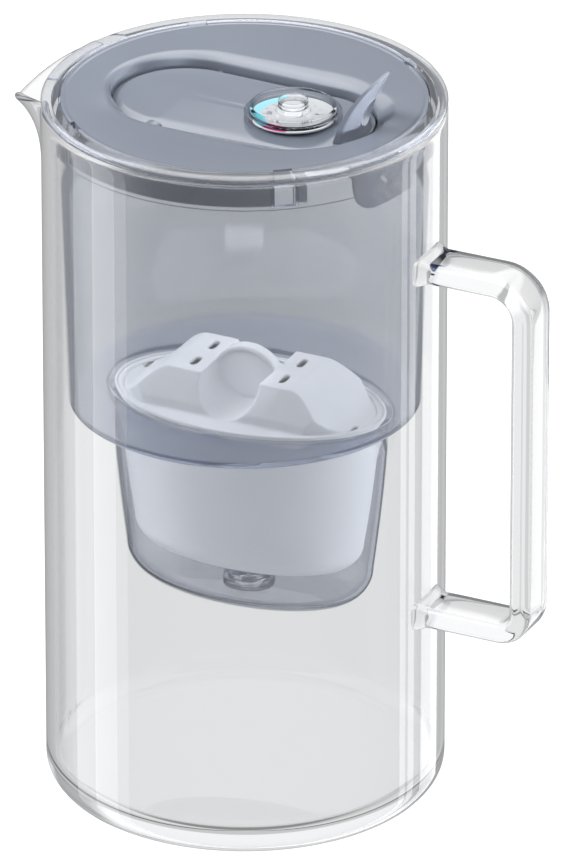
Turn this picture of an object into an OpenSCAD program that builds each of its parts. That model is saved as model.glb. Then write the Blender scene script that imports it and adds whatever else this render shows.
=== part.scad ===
// Water filter pitcher with a flip lid.
// A glass jug carries a hopper in its mouth. A filter cartridge stands in the hopper's
// well. The lid's filling flap rocks on two trunnions and carries a refill reminder dial.
// Origin: centre of the base. +X: toward the handle. -X: toward the spout. +Z: up.

/* [Jug] */
// Outer radius of the glass jug
jug_r = 66; // [64:0.5:70]
// Height of the glass, base to rim
glass_h = 242.2; // [232:0.2:262]
// Thickness of the glass wall
glass_wall = 3; // [2.4:0.1:3.4]
// Thickness of the glass floor
glass_floor = 6.5; // [4:0.5:9]
// Outer radius where wall and base meet
heel_r = 9; // [5:0.5:12]
// Inner radius where wall and floor meet
inner_heel_r = 8; // [3:0.5:12]

/* [Spout] */
// Half angle of the mouth over which the spout is pulled
spout_half = 27; // [20:0.5:32]
// How far the lip reaches past the jug wall
spout_reach = 18.2; // [12:0.2:22]
// How far the tip of the lip lies under the rim
spout_drop = 13.5; // [8:0.5:18]
// Height of the wall over which the spout flares
spout_rise = 35; // [28:1:50]
// How late the wall turns outward, higher is later
spout_bend = 3; // [2:0.1:4]

/* [Handle] */
// Distance from the jug's axis to the grip's outer face
handle_reach = 106.3; // [98:0.5:116]
// Thickness of the glass strap
strap_t = 7.3; // [6:0.1:9]
// Width of the glass strap
strap_w = 17; // [14:0.5:22]
// Radius of the strap's edges
strap_edge = 2.2; // [1:0.1:2.8]
// Distance from the rim down to the top of the upper arm
handle_top = 40.6; // [36:0.2:60]
// Height of the handle over both arms
handle_h = 131; // [100:1:140]
// Outer radius of the upper bend
bend_r_top = 15; // [12:0.5:20]
// Outer radius of the lower bend
bend_r_low = 11.5; // [10:0.5:16]
// Radius of the flare where each arm is welded on
root_flare = 3.6; // [2:0.2:5]

/* [Hopper] */
// Thickness of the flange that lies on the rim
flange_t = 2.5; // [2:0.1:3.5]
// Depth of the hopper, flange top to the underside of its floor
hopper_depth = 107; // [100:0.5:115]
// Thickness of the hopper's walls and floor
hopper_wall = 1.9; // [1.6:0.1:2.2]
// Radial thickness of the collar under the flange
collar_wall = 3.4; // [3.2:0.1:4]
// Height of the collar under the flange
collar_h = 8.5; // [8:0.5:12]
// How far the wall steps in under the collar
collar_step = 1.6; // [1.2:0.1:2]
// How much narrower the hopper is at its floor
hopper_taper = 2.9; // [1:0.1:4]
// Outer radius of the edge round the hopper's floor
hopper_edge = 3; // [2:0.5:4]
// Depth of the well, floor underside to the well's underside
well_depth = 68; // [62:0.5:72]
// Half length of the well at the floor, along X
well_a = 48; // [47.5:0.1:49]
// Half width of the well at the floor, along Y
well_b = 31.4; // [31:0.1:33]
// How much the well narrows down to its bottom edge
well_taper = 4.6; // [3:0.1:6]
// Radius round the bottom of the well
well_edge = 12; // [8:0.5:14]
// Offset of the well toward the handle
well_x = 1.5; // [0:0.1:3]
// Radius of the outlet in the well's bottom
outlet_r = 7; // [5:0.5:9]
// Width of each clip finger in the collar
finger_w = 6.9; // [6.5:0.1:8]
// Width of the relief slits beside each finger
slit_w = 0.9; // [0.6:0.1:1.2]

/* [Cartridge] */
// Half length of the cartridge's flange, along X
cart_a = 47.5; // [46.8:0.1:47.7]
// Half width of the cartridge's flange, along Y
cart_b = 30.6; // [30.2:0.1:31]
// Thickness of the cartridge's flange
cart_flange_t = 1.9; // [1.5:0.1:2.5]
// Depth of the cup under the flange
cup_depth = 54; // [45:0.5:60]
// Thickness of the cup's wall
cup_wall = 1.5; // [1.2:0.1:2]
// Height of the humps over the flange
hump_h = 12; // [8:0.5:16]
// Thickness of the cap's shell
cap_wall = 1.6; // [1.2:0.1:2]
// Distance from the cap's middle to the outer shoulder of each hump
hump_top_x = 22.5; // [19:0.5:26]
// Distance from the cap's middle to the foot of each hump
hump_foot_x = 40; // [36:0.5:42]
// Half width of the humps at their top
hump_top_y = 14; // [12:0.5:16]
// Half width of the humps at the flange
hump_foot_y = 20.5; // [18:0.5:22]
// Radius of the channel between the humps
channel_r = 10.5; // [9:0.5:11.5]
// Height of the grip web over the flange
web_h = 18.2; // [15:0.2:21]
// Thickness of the grip web
web_t = 2.2; // [1.8:0.1:3]
// Width of the web's arched rim
web_rim_w = 4.4; // [3.4:0.2:6]

/* [Lid] */
// How far the lid's edge lies under the flange's top
lid_sink = 0.5; // [0.3:0.1:0.8]
// How much the lid dishes toward its recess
lid_dish = 0.9; // [0.4:0.1:1.2]
// Thickness of the lid
lid_t = 2; // [1.6:0.1:2.4]
// Thickness of the lid's skirt
skirt_t = 1.6; // [1.2:0.1:2]
// Angle that the deep skirt covers to each side of the spout
skirt_half = 131; // [115:1:140]
// Depth of the tongue on the handle side, under the lid's edge
tongue_drop = 23; // [16:0.5:28]
// Half angle of the tongue
tongue_half = 27; // [20:1:34]
// Corner radius of the tongue
tongue_r = 9; // [5:0.5:12]

/* [Recess and flap] */
// Distance from the axis to the middle of the recess's spout end
recess_x1 = 21.3; // [19:0.1:23]
// Distance from the axis to the middle of the recess's handle end
recess_x2 = 22.5; // [20:0.1:24]
// Radius of the flap's spout end
flap_r1 = 23.7; // [22:0.1:24.5]
// Radius of the flap's handle end
flap_r2 = 22.1; // [21:0.1:23]
// Gap all round the flap
flap_gap = 0.7; // [0.5:0.1:1]
// Width of the rounded shoulder at the spout tip of the recess
shoulder_end1 = 2.3; // [1.5:0.1:3]
// Width of the rounded shoulder at the handle tip of the recess
shoulder_end2 = 4.2; // [2:0.1:5]
// Width of the rounded shoulder beside the spout end
shoulder_side1 = 5.1; // [3:0.1:6]
// Width of the rounded shoulder beside the handle end
shoulder_side2 = 8.2; // [5:0.1:9]
// Depth of the rounded shoulder
shoulder_drop = 1.8; // [1:0.1:2.4]
// Thickness of the flap at its edge
flap_t = 2.2; // [1.8:0.1:2.6]
// How far the flap's top lies under the flange's top
flap_sink = 4.2; // [3.8:0.1:4.8]
// How far the flap's border falls toward its edge
border_drop = 0.9; // [0.3:0.1:1.2]
// Width of the flap's falling border
border_w = 7; // [4:0.5:7]
// Width of the ledge under the flap
ledge_w = 2.5; // [1.5:0.1:3.5]
// Radius of the flap's trunnions
pin_r = 1.4; // [1.2:0.05:1.5]
// Distance from the axis to the flap's hinge line
hinge_x = 20.5; // [18:0.1:22]

/* [Petal] */
// Height of the finger petal over the flap
petal_h = 22.6; // [16:0.2:26]
// Half width of the petal at its foot
petal_w = 10.9; // [9:0.1:12]
// Thickness of the petal at its foot
petal_t = 1.8; // [1.4:0.1:2.4]
// Distance from the axis to the petal's foot
petal_x = 42.6; // [40:0.1:43]
// How far the petal leans outward
petal_lean = 9.4; // [6:0.1:12]
// How far the petal's sides curl back from its middle
petal_curl = 4.4; // [2:0.1:6]

/* [Dial] */
// Distance from the axis to the dial's centre
dial_x = 17.5; // [14:0.1:19]
// Outer radius of the clear bezel
bezel_r = 16; // [15.2:0.1:16.6]
// Height of the clear bezel
bezel_h = 2.5; // [1.5:0.1:3.5]
// Outer radius of the turning dish
dish_r = 14.2; // [13.2:0.1:14.4]
// Height of the turning dish over the flap
dish_h = 4.2; // [3:0.1:5]
// Thickness of the dish
dish_t = 1; // [0.8:0.1:1.2]
// Radius of the knob's top
knob_r = 4.9; // [4:0.1:6]
// Height of the knob over the flap
knob_h = 6; // [5.2:0.1:8]
// Thickness of the printed disc
disc_t = 0.6; // [0.4:0.1:0.8]
// Radius of the dial's spindle
spindle_r = 2.4; // [2:0.1:3]

/* [Fits] */
// Resting gap between pieces that lie on each other and come apart
seat_gap = 0.3; // [0.2:0.05:0.4]
// Radial gap between the collar and the glass
collar_gap = 0.7; // [0.4:0.1:1]
// Radial gap between the lid and the hopper
lid_gap = 0.35; // [0.3:0.05:0.5]
// Running clearance of pins in their bores
pin_clear = 0.05; // [0.03:0.01:0.08]

/* [Hidden] */
$fn = 96;
over = 1;
ring_n = 60;
egg_n = 72;

// Heights
top_z = glass_h + seat_gap + flange_t;
flange_z = glass_h + seat_gap;
collar_z = flange_z - collar_h;
hopper_z = top_z - hopper_depth;
floor_z = hopper_z + hopper_wall;
well_z = hopper_z - well_depth;
lid_z = top_z - lid_sink;
deck_z = lid_z - lid_dish;
rim_t = 1;
rebate_z = lid_z - rim_t - seat_gap;
flap_z = top_z - flap_sink;
edge_z = flap_z - border_drop;
flap_low_z = edge_z - flap_t;
ledge_z = flap_low_z - seat_gap;
lid_low_z = ledge_z - 1.8;
shoulder_z = deck_z - shoulder_drop;
skirt_z = collar_z + 0.5;
shallow_skirt_z = flange_z - 1.7;

// Radii
glass_bore = jug_r - glass_wall;
collar_r = glass_bore - collar_gap;
mouth_r = collar_r - collar_wall;
wall_r = collar_r - collar_step;
hopper_low_r = wall_r - hopper_taper;
lid_r = mouth_r + 0.8;
rebate_r = lid_r + lid_gap;
skirt_r = mouth_r - lid_gap;
tongue_outer_r = skirt_r - 1.3;
petal_foot_z = flap_z - 0.6;
eye_w = 4.4;
eye_h = 7.2;

// Grid of the spout's shell, and how far its edges run into the wall
spout_skin = 0.15;
spout_steps = 24;
spout_rows = 10;
spout_embed = 1.5;

// Lid clips, as angles from the spout
clip_margin = 3;
clip_angles = [49, skirt_half - clip_margin, -49, clip_margin - skirt_half];
lug_reach = 1.6;
lug_w = finger_w - 1.3;
lug_h = 4.6;
groove_w = lug_w + 2 * lid_gap;
groove_r = mouth_r + lug_reach + lid_gap;
finger_free = 0.8;
finger_root = 1.5;

// Seat of the cartridge in the well
recess_grow = 1;
seat_z = floor_z - 3.5;
well_neck_z = seat_z - 5;
cart_low_z = seat_z + seat_gap;
cart_top_z = cart_low_z + cart_flange_t;
panel_z = cart_top_z - 0.6;
seat_lip = 1.3;
cup_gap = 0.9;
cup_a = cart_a - seat_lip - cup_gap;
cup_b = cart_b - seat_lip - cup_gap;
cup_z = cart_low_z - cup_depth;
cup_taper = 5;
cup_edge = 9;
drain_r = 2;
screen_t = 0.8;
media_top_z = panel_z - 9;

// Hinge
hinge_z = edge_z - pin_r - 0.1;
pin_len = 2.2;
boss_r = pin_r + 2.2;
ledge_start = 7;

// ---- Shapes used by several pieces ----

// Half section of a round vessel whose bottom corner is rounded
module can_section(r, h, corner) {
    translate([0, corner]) square([r, h - corner]);
    square([r - corner, corner + 0.01]);
    translate([r - corner, corner]) circle(corner);
}

// Wedge of a circle about the spout direction, half the angle to each side
module sector(r, half) {
    steps = 24;
    polygon(concat([[0, 0]], [for (i = [0:steps])
        let (t = 180 - half + 2 * half * i / steps)
        [r * cos(t), r * sin(t)] / cos(half / steps)]));
}

// Closed solid through stacked rings of points, from the lowest ring up
module loft(rings) {
    n = len(rings[0]);
    m = len(rings);
    points = [for (ring = rings) each ring];
    sides = [for (k = [0:m - 2], i = [0:n - 1])
        let (j = (i + 1) % n, low = k * n, high = low + n)
        each [[low + i, high + i, high + j], [low + i, high + j, low + j]]];
    bottom = [for (i = [0:n - 1]) i];
    top = [for (i = [n - 1:-1:0]) (m - 1) * n + i];
    polyhedron(points, concat([bottom], [top], sides));
}

// Closed sheet between two grids of points with the same rows and columns
module sheet(front, back) {
    rows = len(front) - 1;
    cols = len(front[0]) - 1;
    behind = (rows + 1) * (cols + 1);
    function at(i, k, side = 0) = side * behind + i * (cols + 1) + k;
    quads = concat(
        [for (i = [0:rows - 1], k = [0:cols - 1])
            [at(i, k), at(i, k + 1), at(i + 1, k + 1), at(i + 1, k)]],
        [for (i = [0:rows - 1], k = [0:cols - 1])
            [at(i, k, 1), at(i + 1, k, 1), at(i + 1, k + 1, 1), at(i, k + 1, 1)]],
        [for (i = [0:rows - 1]) [at(i, 0), at(i + 1, 0), at(i + 1, 0, 1), at(i, 0, 1)]],
        [for (i = [0:rows - 1]) [at(i + 1, cols), at(i, cols), at(i, cols, 1), at(i + 1, cols, 1)]],
        [for (k = [0:cols - 1]) [at(0, k + 1), at(0, k), at(0, k, 1), at(0, k + 1, 1)]],
        [for (k = [0:cols - 1]) [at(rows, k), at(rows, k + 1), at(rows, k + 1, 1), at(rows, k, 1)]]);
    points = [for (grid = [front, back], row = grid) each row];
    polyhedron(points, [for (q = quads) each [[q[0], q[1], q[2]], [q[0], q[2], q[3]]]]);
}

// One oval ring round the well's axis
function oval(a, b, z) = [for (i = [0:ring_n - 1])
    let (t = 360 * i / ring_n) [well_x + a * cos(t), b * sin(t), z]];

// Rings of an oval vessel: rounded bottom edge, then walls that widen upward
function vessel(a, b, low, high, taper, edge) = concat(
    [for (k = [0:5])
        let (t = 90 * k / 5, inset = taper + edge * (1 - sin(t)))
        oval(a - inset, b - inset, low + edge * (1 - cos(t)))],
    [for (k = [1:4])
        let (s = k / 4, inset = taper * (1 - s) ^ 1.4)
        oval(a - inset, b - inset, low + edge + (high - low - edge) * s)]);

// Outline of the flap and its recess: two round ends and their tangents
function egg(x1, r1, x2, r2, z) = [for (i = [0:egg_n - 1])
    let (t = 360 * i / egg_n)
    x2 * cos(t) + r2 > -x1 * cos(t) + r1
        ? [x2 + r2 * cos(t), r2 * sin(t), z]
        : [-x1 + r1 * cos(t), r1 * sin(t), z]];
function flap_egg(grow, z) = egg(recess_x1, flap_r1 + grow, recess_x2, flap_r2 + grow, z);

// Outline of the shoulder, from s = 0 at the recess wall to s = 1 at the deck
function shoulder_egg(s, grow, z) = egg(
    recess_x1 - s * (shoulder_side1 - shoulder_end1),
    flap_r1 + flap_gap + grow + s * shoulder_side1,
    recess_x2 - s * (shoulder_side2 - shoulder_end2),
    flap_r2 + flap_gap + grow + s * shoulder_side2, z);

// Cross section of the glass strap: a flat bar with round edges
module strap_section() {
    half_t = strap_t / 2 - strap_edge;
    half_w = strap_w / 2 - strap_edge;
    square([strap_t, 2 * half_w], center = true);
    square([2 * half_t, strap_w], center = true);
    for (x = [-half_t, half_t], y = [-half_w, half_w])
        translate([x, y]) circle(strap_edge, $fn = 32);
}

// ---- Jug ----

// Point on the spout: t is the angle from its middle, s runs from its root to its lip,
// side is -1 on the inside and 1 on the outside
function spout_point(t, s, side) =
    let (f = cos(90 * min(1, abs(t) / spout_half)),
         lip_z = glass_h - spout_skin - spout_drop * f ^ 3,
         rise = lip_z - (glass_h - spout_rise),
         reach = spout_reach * f ^ 1.3,
         slope = reach * spout_bend * s ^ (spout_bend - 1) / rise,
         offset = side * (glass_wall / 2 - spout_skin) / sqrt(1 + slope * slope),
         r = jug_r - glass_wall / 2 + reach * s ^ spout_bend + offset,
         z = lip_z - rise * (1 - s) - offset * slope)
    [-r * cos(t), -r * sin(t), z];
// The pulled lip: a thin flared shell whose edges run inside the wall
module spout_shell() {
    half = spout_half + spout_embed;
    grids = [for (side = [1, -1]) [for (i = [0:spout_steps]) [for (k = [0:spout_rows])
        spout_point(-half + 2 * half * i / spout_steps, k / spout_rows, side)]]];
    sheet(grids[0], grids[1]);
}

module glass_body() {
    rim_r = glass_wall / 2;
    color([0.86, 0.9, 0.93, 0.35]) union() {
        difference() {
            rotate_extrude($fn = 128) {
                difference() {
                    can_section(jug_r, glass_h - rim_r, heel_r);
                    translate([0, glass_floor]) can_section(glass_bore, glass_h, inner_heel_r);
                }
                translate([jug_r - rim_r, glass_h - rim_r]) circle(rim_r, $fn = 32);
            }
            // Window in the wall behind the spout
            translate([0, 0, glass_h - spout_rise + spout_embed])
                linear_extrude(spout_rise) difference() {
                    sector(jug_r + glass_wall, spout_half - 0.5);
                    circle(glass_bore - glass_wall);
                }
        }
        spout_shell();
    }
}

module glass_handle() {
    top = glass_h - handle_top - strap_t / 2;
    low = glass_h - handle_top - handle_h + strap_t / 2;
    grip_x = handle_reach - strap_t / 2;
    turn_top = bend_r_top - strap_t / 2;
    turn_low = bend_r_low - strap_t / 2;
    root_x = jug_r - 2;
    color([0.86, 0.9, 0.93, 0.35]) difference() {
        union() {
            for (arm = [[top, turn_top], [low, turn_low]])
                translate([root_x, 0, arm[0]]) rotate([0, 90, 0])
                    linear_extrude(grip_x - arm[1] - root_x) strap_section();
            translate([grip_x, 0, low + turn_low])
                linear_extrude(top - low - turn_top - turn_low) strap_section();
            translate([grip_x - turn_top, 0, top - turn_top]) rotate([90, 0, 0])
                rotate_extrude(angle = 90) translate([turn_top, 0]) strap_section();
            translate([grip_x - turn_low, 0, low + turn_low]) rotate([90, 0, 0])
                rotate_extrude(angle = -90) translate([turn_low, 0]) strap_section();
            for (z = [top, low]) translate([0, 0, z]) arm_root();
        }
        translate([0, 0, low - strap_t]) cylinder(r = jug_r, h = handle_h + strap_t, $fn = 128);
    }
}

// Flared foot where an arm of the handle is welded to the wall
module arm_root() {
    foot_t = strap_t + 1.2;
    foot_half = strap_w / 2 + root_flare;
    foot_x = sqrt(jug_r ^ 2 - foot_half ^ 2);
    foot_end = jug_r + root_flare;
    difference() {
        translate([foot_x - 1, -foot_half, -foot_t / 2])
            cube([foot_end - foot_x + 1, 2 * foot_half, foot_t]);
        for (side = [-1, 1]) translate([foot_end, side * foot_half, -foot_t])
            cylinder(r = root_flare, h = 2 * foot_t, $fn = 48);
    }
}

// ---- Hopper ----

module hopper() {
    color([0.62, 0.66, 0.73, 0.55]) difference() {
        union() {
            rotate_extrude($fn = 128) hopper_section();
            well_outside();
            raised_cover();
        }
        hopper_cavity();
        well_cavity();
        translate([well_x, 0, well_z - over]) cylinder(r = outlet_r, h = hopper_wall + 2 * over);
        for (a = clip_angles) rotate([0, 0, 180 + a]) clip_cut();
    }
}

// Outside of the hopper: floor, tapered wall, collar and flange
module hopper_section() {
    edge = hopper_edge;
    polygon([[0, hopper_z], [hopper_low_r - edge, hopper_z], [hopper_low_r, hopper_z + edge],
             [wall_r, collar_z], [collar_r, collar_z], [collar_r, flange_z], [0, flange_z]]);
    translate([hopper_low_r - edge, hopper_z + edge]) circle(edge, $fn = 48);
    translate([0, flange_z]) square([jug_r - flange_t / 2, flange_t]);
    translate([jug_r - flange_t / 2, flange_z + flange_t / 2]) circle(flange_t / 2, $fn = 32);
}

// Inside of the hopper, open at the top, with the rebate for the lid's rim
module hopper_cavity() {
    edge = max(0.6, hopper_edge - hopper_wall);
    low_r = hopper_low_r - hopper_wall;
    rotate_extrude($fn = 128) {
        polygon([[0, floor_z], [low_r - edge, floor_z], [low_r, floor_z + edge],
                 [wall_r - hopper_wall, collar_z - over], [mouth_r, collar_z + 1.5],
                 [mouth_r, top_z + over], [0, top_z + over]]);
        translate([low_r - edge, floor_z + edge]) circle(edge, $fn = 32);
        translate([0, rebate_z]) square([rebate_r, flange_t + over]);
    }
}

// Outside of the well: a tapered oval vessel that flares round the cartridge's seat
module well_outside() {
    flare_a = cart_a + recess_grow + hopper_wall;
    flare_b = cart_b + recess_grow + hopper_wall;
    loft(concat(vessel(well_a, well_b, well_z, well_neck_z, well_taper, well_edge),
                [oval(flare_a, flare_b, seat_z - 1.5), oval(flare_a, flare_b, floor_z - 0.5)]));
}

// Inside of the well, with the seat for the cartridge's flange and a flared mouth
module well_cavity() {
    inner_a = cart_a - seat_lip;
    inner_b = cart_b - seat_lip;
    gap_a = cart_a + recess_grow;
    gap_b = cart_b + recess_grow;
    flare = 3.2;
    rings = vessel(well_a - hopper_wall, well_b - hopper_wall, well_z + hopper_wall, well_neck_z,
                   well_taper, well_edge - hopper_wall);
    loft(concat(rings, [oval(inner_a, inner_b, seat_z), oval(gap_a, gap_b, seat_z),
                        oval(gap_a, gap_b, floor_z - 1.6), oval(gap_a + flare, gap_b + flare, floor_z),
                        oval(gap_a + flare, gap_b + flare, floor_z + over)]));
}

// Groove for one of the lid's lugs, and the slits that free its finger
module clip_cut() {
    low = collar_z - finger_free;
    translate([mouth_r - over, -groove_w / 2, low])
        cube([groove_r - mouth_r + over, groove_w, top_z + over - low]);
    for (side = [-1, 1]) translate([wall_r + 0.2, side * (finger_w + slit_w) / 2 - slit_w / 2, low])
        cube([glass_bore - wall_r, slit_w, collar_h - finger_root + finger_free]);
}

// Low pad on the flange that bridges the spout
module raised_cover() {
    translate([0, 0, top_z - over]) linear_extrude(over + 0.4) difference() {
        intersection() {
            sector(jug_r + over, 15);
            circle(jug_r - 0.6, $fn = 128);
        }
        circle(rebate_r + 1.2, $fn = 128);
    }
}

// ---- Cartridge ----

module cartridge_cup() {
    color([0.93, 0.94, 0.95]) difference() {
        loft(vessel(cup_a, cup_b, cup_z, cart_low_z, cup_taper, cup_edge));
        loft(vessel(cup_a - cup_wall, cup_b - cup_wall, cup_z + cup_wall, cart_low_z + over,
                    cup_taper, cup_edge - cup_wall));
        translate([well_x, 0, cup_z - over]) {
            for (i = [0:7]) rotate([0, 0, 45 * i]) translate([9, 0, 0])
                cylinder(r = drain_r, h = cup_wall + 2 * over);
            cylinder(r = drain_r, h = cup_wall + 2 * over);
        }
    }
}

// Outline of the humps seen from the side: two shoulders with S-shaped outer slopes
module hump_outline(inset) {
    foot = hump_foot_x - inset;
    top_x = hump_top_x - inset;
    rise = cart_top_z + hump_h - panel_z - inset;
    steps = 10;
    slope = [for (i = [0:steps])
        let (s = i / steps, curve = 0.5 - 0.5 * cos(180 * s))
        [foot + (top_x - foot) * s, rise * (0.75 * curve + 0.25 * s)]];
    polygon(concat([[-foot, -over], [foot, -over]], slope,
                   [for (i = [steps:-1:0]) [-slope[i][0], slope[i][1]]]));
}

// Body of the humps: the side outline cut to its tapering width and to the oval flange
module hump_body(inset) {
    rise = cart_top_z + hump_h - panel_z - inset;
    top_y = hump_top_y - inset;
    foot_y = hump_foot_y - inset;
    intersection() {
        translate([well_x, 0, panel_z]) rotate([90, 0, 0])
            linear_extrude(2 * cart_b, center = true) hump_outline(inset);
        translate([0, 0, panel_z]) rotate([90, 0, 90]) linear_extrude(4 * cart_a, center = true)
            polygon([[-foot_y, -over], [foot_y, -over], [foot_y - 1.2, rise * 0.25],
                     [top_y, rise + 0.01], [-top_y, rise + 0.01], [-foot_y + 1.2, rise * 0.25]]);
        loft([oval(cart_a - 4 - inset, cart_b - 4 - inset, panel_z - over),
              oval(cart_a - 4 - inset, cart_b - 4 - inset, cart_top_z + hump_h + over)]);
    }
}

module channel(r) {
    translate([well_x, 0, panel_z + r]) rotate([90, 0, 0]) cylinder(r = r, h = 2 * cart_b, center = true);
    translate([well_x - r, -cart_b, panel_z + r]) cube([2 * r, 2 * cart_b, hump_h]);
}

module cartridge_cap() {
    web_r = 12.7;
    web_z = cart_top_z + web_h - web_r;
    color([0.95, 0.96, 0.97]) difference() {
        union() {
            difference() {
                loft([oval(cart_a - 0.5, cart_b - 0.5, cart_low_z), oval(cart_a, cart_b, cart_low_z + 0.5),
                      oval(cart_a, cart_b, cart_top_z - 0.5), oval(cart_a - 0.5, cart_b - 0.5, cart_top_z)]);
                loft([oval(cart_a - 2, cart_b - 2, panel_z),
                      oval(cart_a - 1.7, cart_b - 1.7, cart_top_z + over)]);
            }
            difference() {
                hump_body(0);
                channel(channel_r);
            }
            // Grip web across the channel, with its arched rim
            difference() {
                translate([well_x, 0, web_z]) rotate([90, 0, 0]) {
                    cylinder(r = web_r, h = web_t, center = true);
                    difference() {
                        cylinder(r = web_r, h = web_rim_w, center = true);
                        cylinder(r = web_r - 1.5, h = web_rim_w + over, center = true);
                    }
                }
                translate([well_x - cart_a, -cart_b, cart_low_z - 2 * web_r])
                    cube([2 * cart_a, 2 * cart_b, 2 * web_r + 0.3]);
            }
        }
        // Hollow under the humps
        difference() {
            union() {
                hump_body(cap_wall);
                translate([0, 0, -cap_wall]) hump_body(cap_wall);
            }
            translate([0, 0, -cap_wall]) channel(channel_r + cap_wall);
            translate([well_x - channel_r, -cart_b, panel_z])
                cube([2 * channel_r, 2 * cart_b, hump_h + 2 * over]);
        }
        // Vent slots in the humps, and the two catch slots at their feet
        for (x = [-1, 1], y = [-1, 1]) translate([well_x + x * 16, y * 6.7, panel_z + hump_h / 2])
            vent_slot(6.5, 2.2, hump_h);
        for (s = [-1, 1]) translate([well_x + s * (hump_foot_x + 1), -s * 8, cart_low_z - over])
            vent_slot(6, 1.2, cart_flange_t + 2 * over);
    }
}

// Slot with round ends along Y
module vent_slot(length, width, height) {
    linear_extrude(height) {
        square([width, length - width], center = true);
        for (s = [-1, 1]) translate([0, s * (length - width) / 2]) circle(width / 2, $fn = 24);
    }
}

// Oval inside the cup at a height between its floor and its rim
function media_inset(z) =
    let (s = (z - cup_z - cup_edge) / (cart_low_z - cup_z - cup_edge))
    cup_taper * (1 - max(0, s)) ^ 1.4 + cup_wall + 0.3;

module inlet_screen() {
    inset = media_inset(media_top_z) + 0.1;
    color([0.8, 0.82, 0.85]) difference() {
        loft([oval(cup_a - inset, cup_b - inset, media_top_z),
              oval(cup_a - inset, cup_b - inset, media_top_z + screen_t)]);
        for (x = [-30:10:30]) translate([well_x + x, 0, media_top_z - over])
            vent_slot(24, 2.4, screen_t + 2 * over);
    }
}

module filter_media() {
    low = cup_z + cup_wall + screen_t;
    color([0.35, 0.33, 0.3])
        loft([for (k = [0:6])
            let (z = low + (media_top_z - low) * k / 6,
                 round = k == 0 ? 5 : k == 1 ? 0.8 : 0,
                 inset = media_inset(z) + round)
            oval(cup_a - inset, cup_b - inset, z)]);
}

module outlet_screen() {
    inset = cup_taper + cup_edge;
    low = cup_z + cup_wall;
    color([0.8, 0.82, 0.85])
        loft([oval(cup_a - inset, cup_b - inset, low), oval(cup_a - inset, cup_b - inset, low + screen_t)]);
}

// ---- Lid ----

module lid_shell() {
    deck_low = lid_z - rim_t;
    color([0.6, 0.64, 0.7]) difference() {
        union() {
            rotate_extrude($fn = 128)
                polygon([[0, deck_z - lid_t], [skirt_r, deck_z - lid_t],
                         [skirt_r, deck_low], [lid_r, deck_low],
                         [lid_r, lid_z - 0.4], [lid_r - 0.4, lid_z], [lid_r - 3, lid_z],
                         [lid_r / 2, deck_z], [0, deck_z]]);
            skirt();
            tongue();
            recess_wall();
            hinge_bosses();
            for (a = clip_angles) rotate([0, 0, 180 + a]) lug();
        }
        recess_cut();
        for (a = clip_angles) rotate([0, 0, 180 + a]) rim_notch();
        hinge_bores();
    }
}

module skirt() {
    for (band = [[skirt_z, skirt_half], [shallow_skirt_z, 180]])
        translate([0, 0, band[0]]) linear_extrude(deck_z - lid_t / 2 - band[0]) difference() {
            intersection() {
                circle(skirt_r, $fn = 128);
                wide_sector(skirt_r + over, band[1]);
            }
            circle(skirt_r - skirt_t, $fn = 128);
        }
}

// Sector about the spout direction that may cover more than half a turn
module wide_sector(r, half) {
    difference() {
        circle(r + over, $fn = 128);
        if (half < 180) rotate(180) sector(2 * r, 180 - half);
    }
}

// Curved tab on the handle side that hangs inside the hopper
module tongue() {
    width = 2 * tongue_outer_r * sin(tongue_half);
    low = lid_z - tongue_drop;
    intersection() {
        translate([0, 0, low]) linear_extrude(tongue_drop - lid_t / 2 - lid_dish) difference() {
            circle(tongue_outer_r, $fn = 128);
            circle(tongue_outer_r - skirt_t, $fn = 128);
        }
        translate([tongue_outer_r / 2, 0, 0]) rotate([90, 0, 90]) linear_extrude(jug_r) difference() {
            union() {
                translate([-width / 2, low + tongue_r]) square([width, tongue_drop]);
                translate([-width / 2 + tongue_r, low]) square([width - 2 * tongue_r, tongue_drop]);
                for (s = [-1, 1])
                    translate([s * (width / 2 - tongue_r), low + tongue_r]) circle(tongue_r);
            }
            // Slanted slot
            translate([-width / 4, low + tongue_drop * 0.62]) rotate(35) square([9, 1.6], center = true);
        }
    }
}

// Wall that rings the recess under the deck, with the ledge at its foot
module recess_wall() {
    wall = lid_t;
    loft([flap_egg(flap_gap + wall, lid_low_z), flap_egg(flap_gap + wall, shoulder_z - 3),
          shoulder_egg(0.45, wall, shoulder_z - 1.6), shoulder_egg(0.8, wall, shoulder_z - 0.6),
          shoulder_egg(1, wall, shoulder_z + 0.6), shoulder_egg(1, wall, deck_z - 0.3)]);
}

// Opening of the recess: shoulder, wall, ledge and filling mouth
module recess_cut() {
    loft(concat([flap_egg(flap_gap - ledge_w, lid_low_z - over), flap_egg(flap_gap - ledge_w, ledge_z),
                 flap_egg(flap_gap, ledge_z)],
                [for (k = [0:6]) let (t = 15 * k)
                    shoulder_egg(1 - cos(t), 0, shoulder_z + (deck_z - shoulder_z) * sin(t))],
                [shoulder_egg(1.05, 0, top_z + over)]));
    // No ledge on the spout side of the hinge, where the flap dips
    intersection() {
        loft([flap_egg(flap_gap, lid_low_z - over), flap_egg(flap_gap, flap_z)]);
        translate([-jug_r, -jug_r, lid_low_z - 2 * over])
            cube([jug_r - hinge_x + ledge_start, 2 * jug_r, 4 * jug_r]);
    }
}

module hinge_bosses() {
    for (s = [-1, 1]) translate([-hinge_x, s * (flap_r1 + flap_gap), hinge_z])
        rotate([-90 * s, 0, 0]) cylinder(r = boss_r, h = pin_len + 2, $fn = 48);
}

module hinge_bores() {
    for (s = [-1, 1]) translate([-hinge_x, s * (flap_r1 - over), hinge_z])
        rotate([-90 * s, 0, 0])
            cylinder(r = pin_r + pin_clear, h = pin_len + over + seat_gap, $fn = 48);
}

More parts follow.
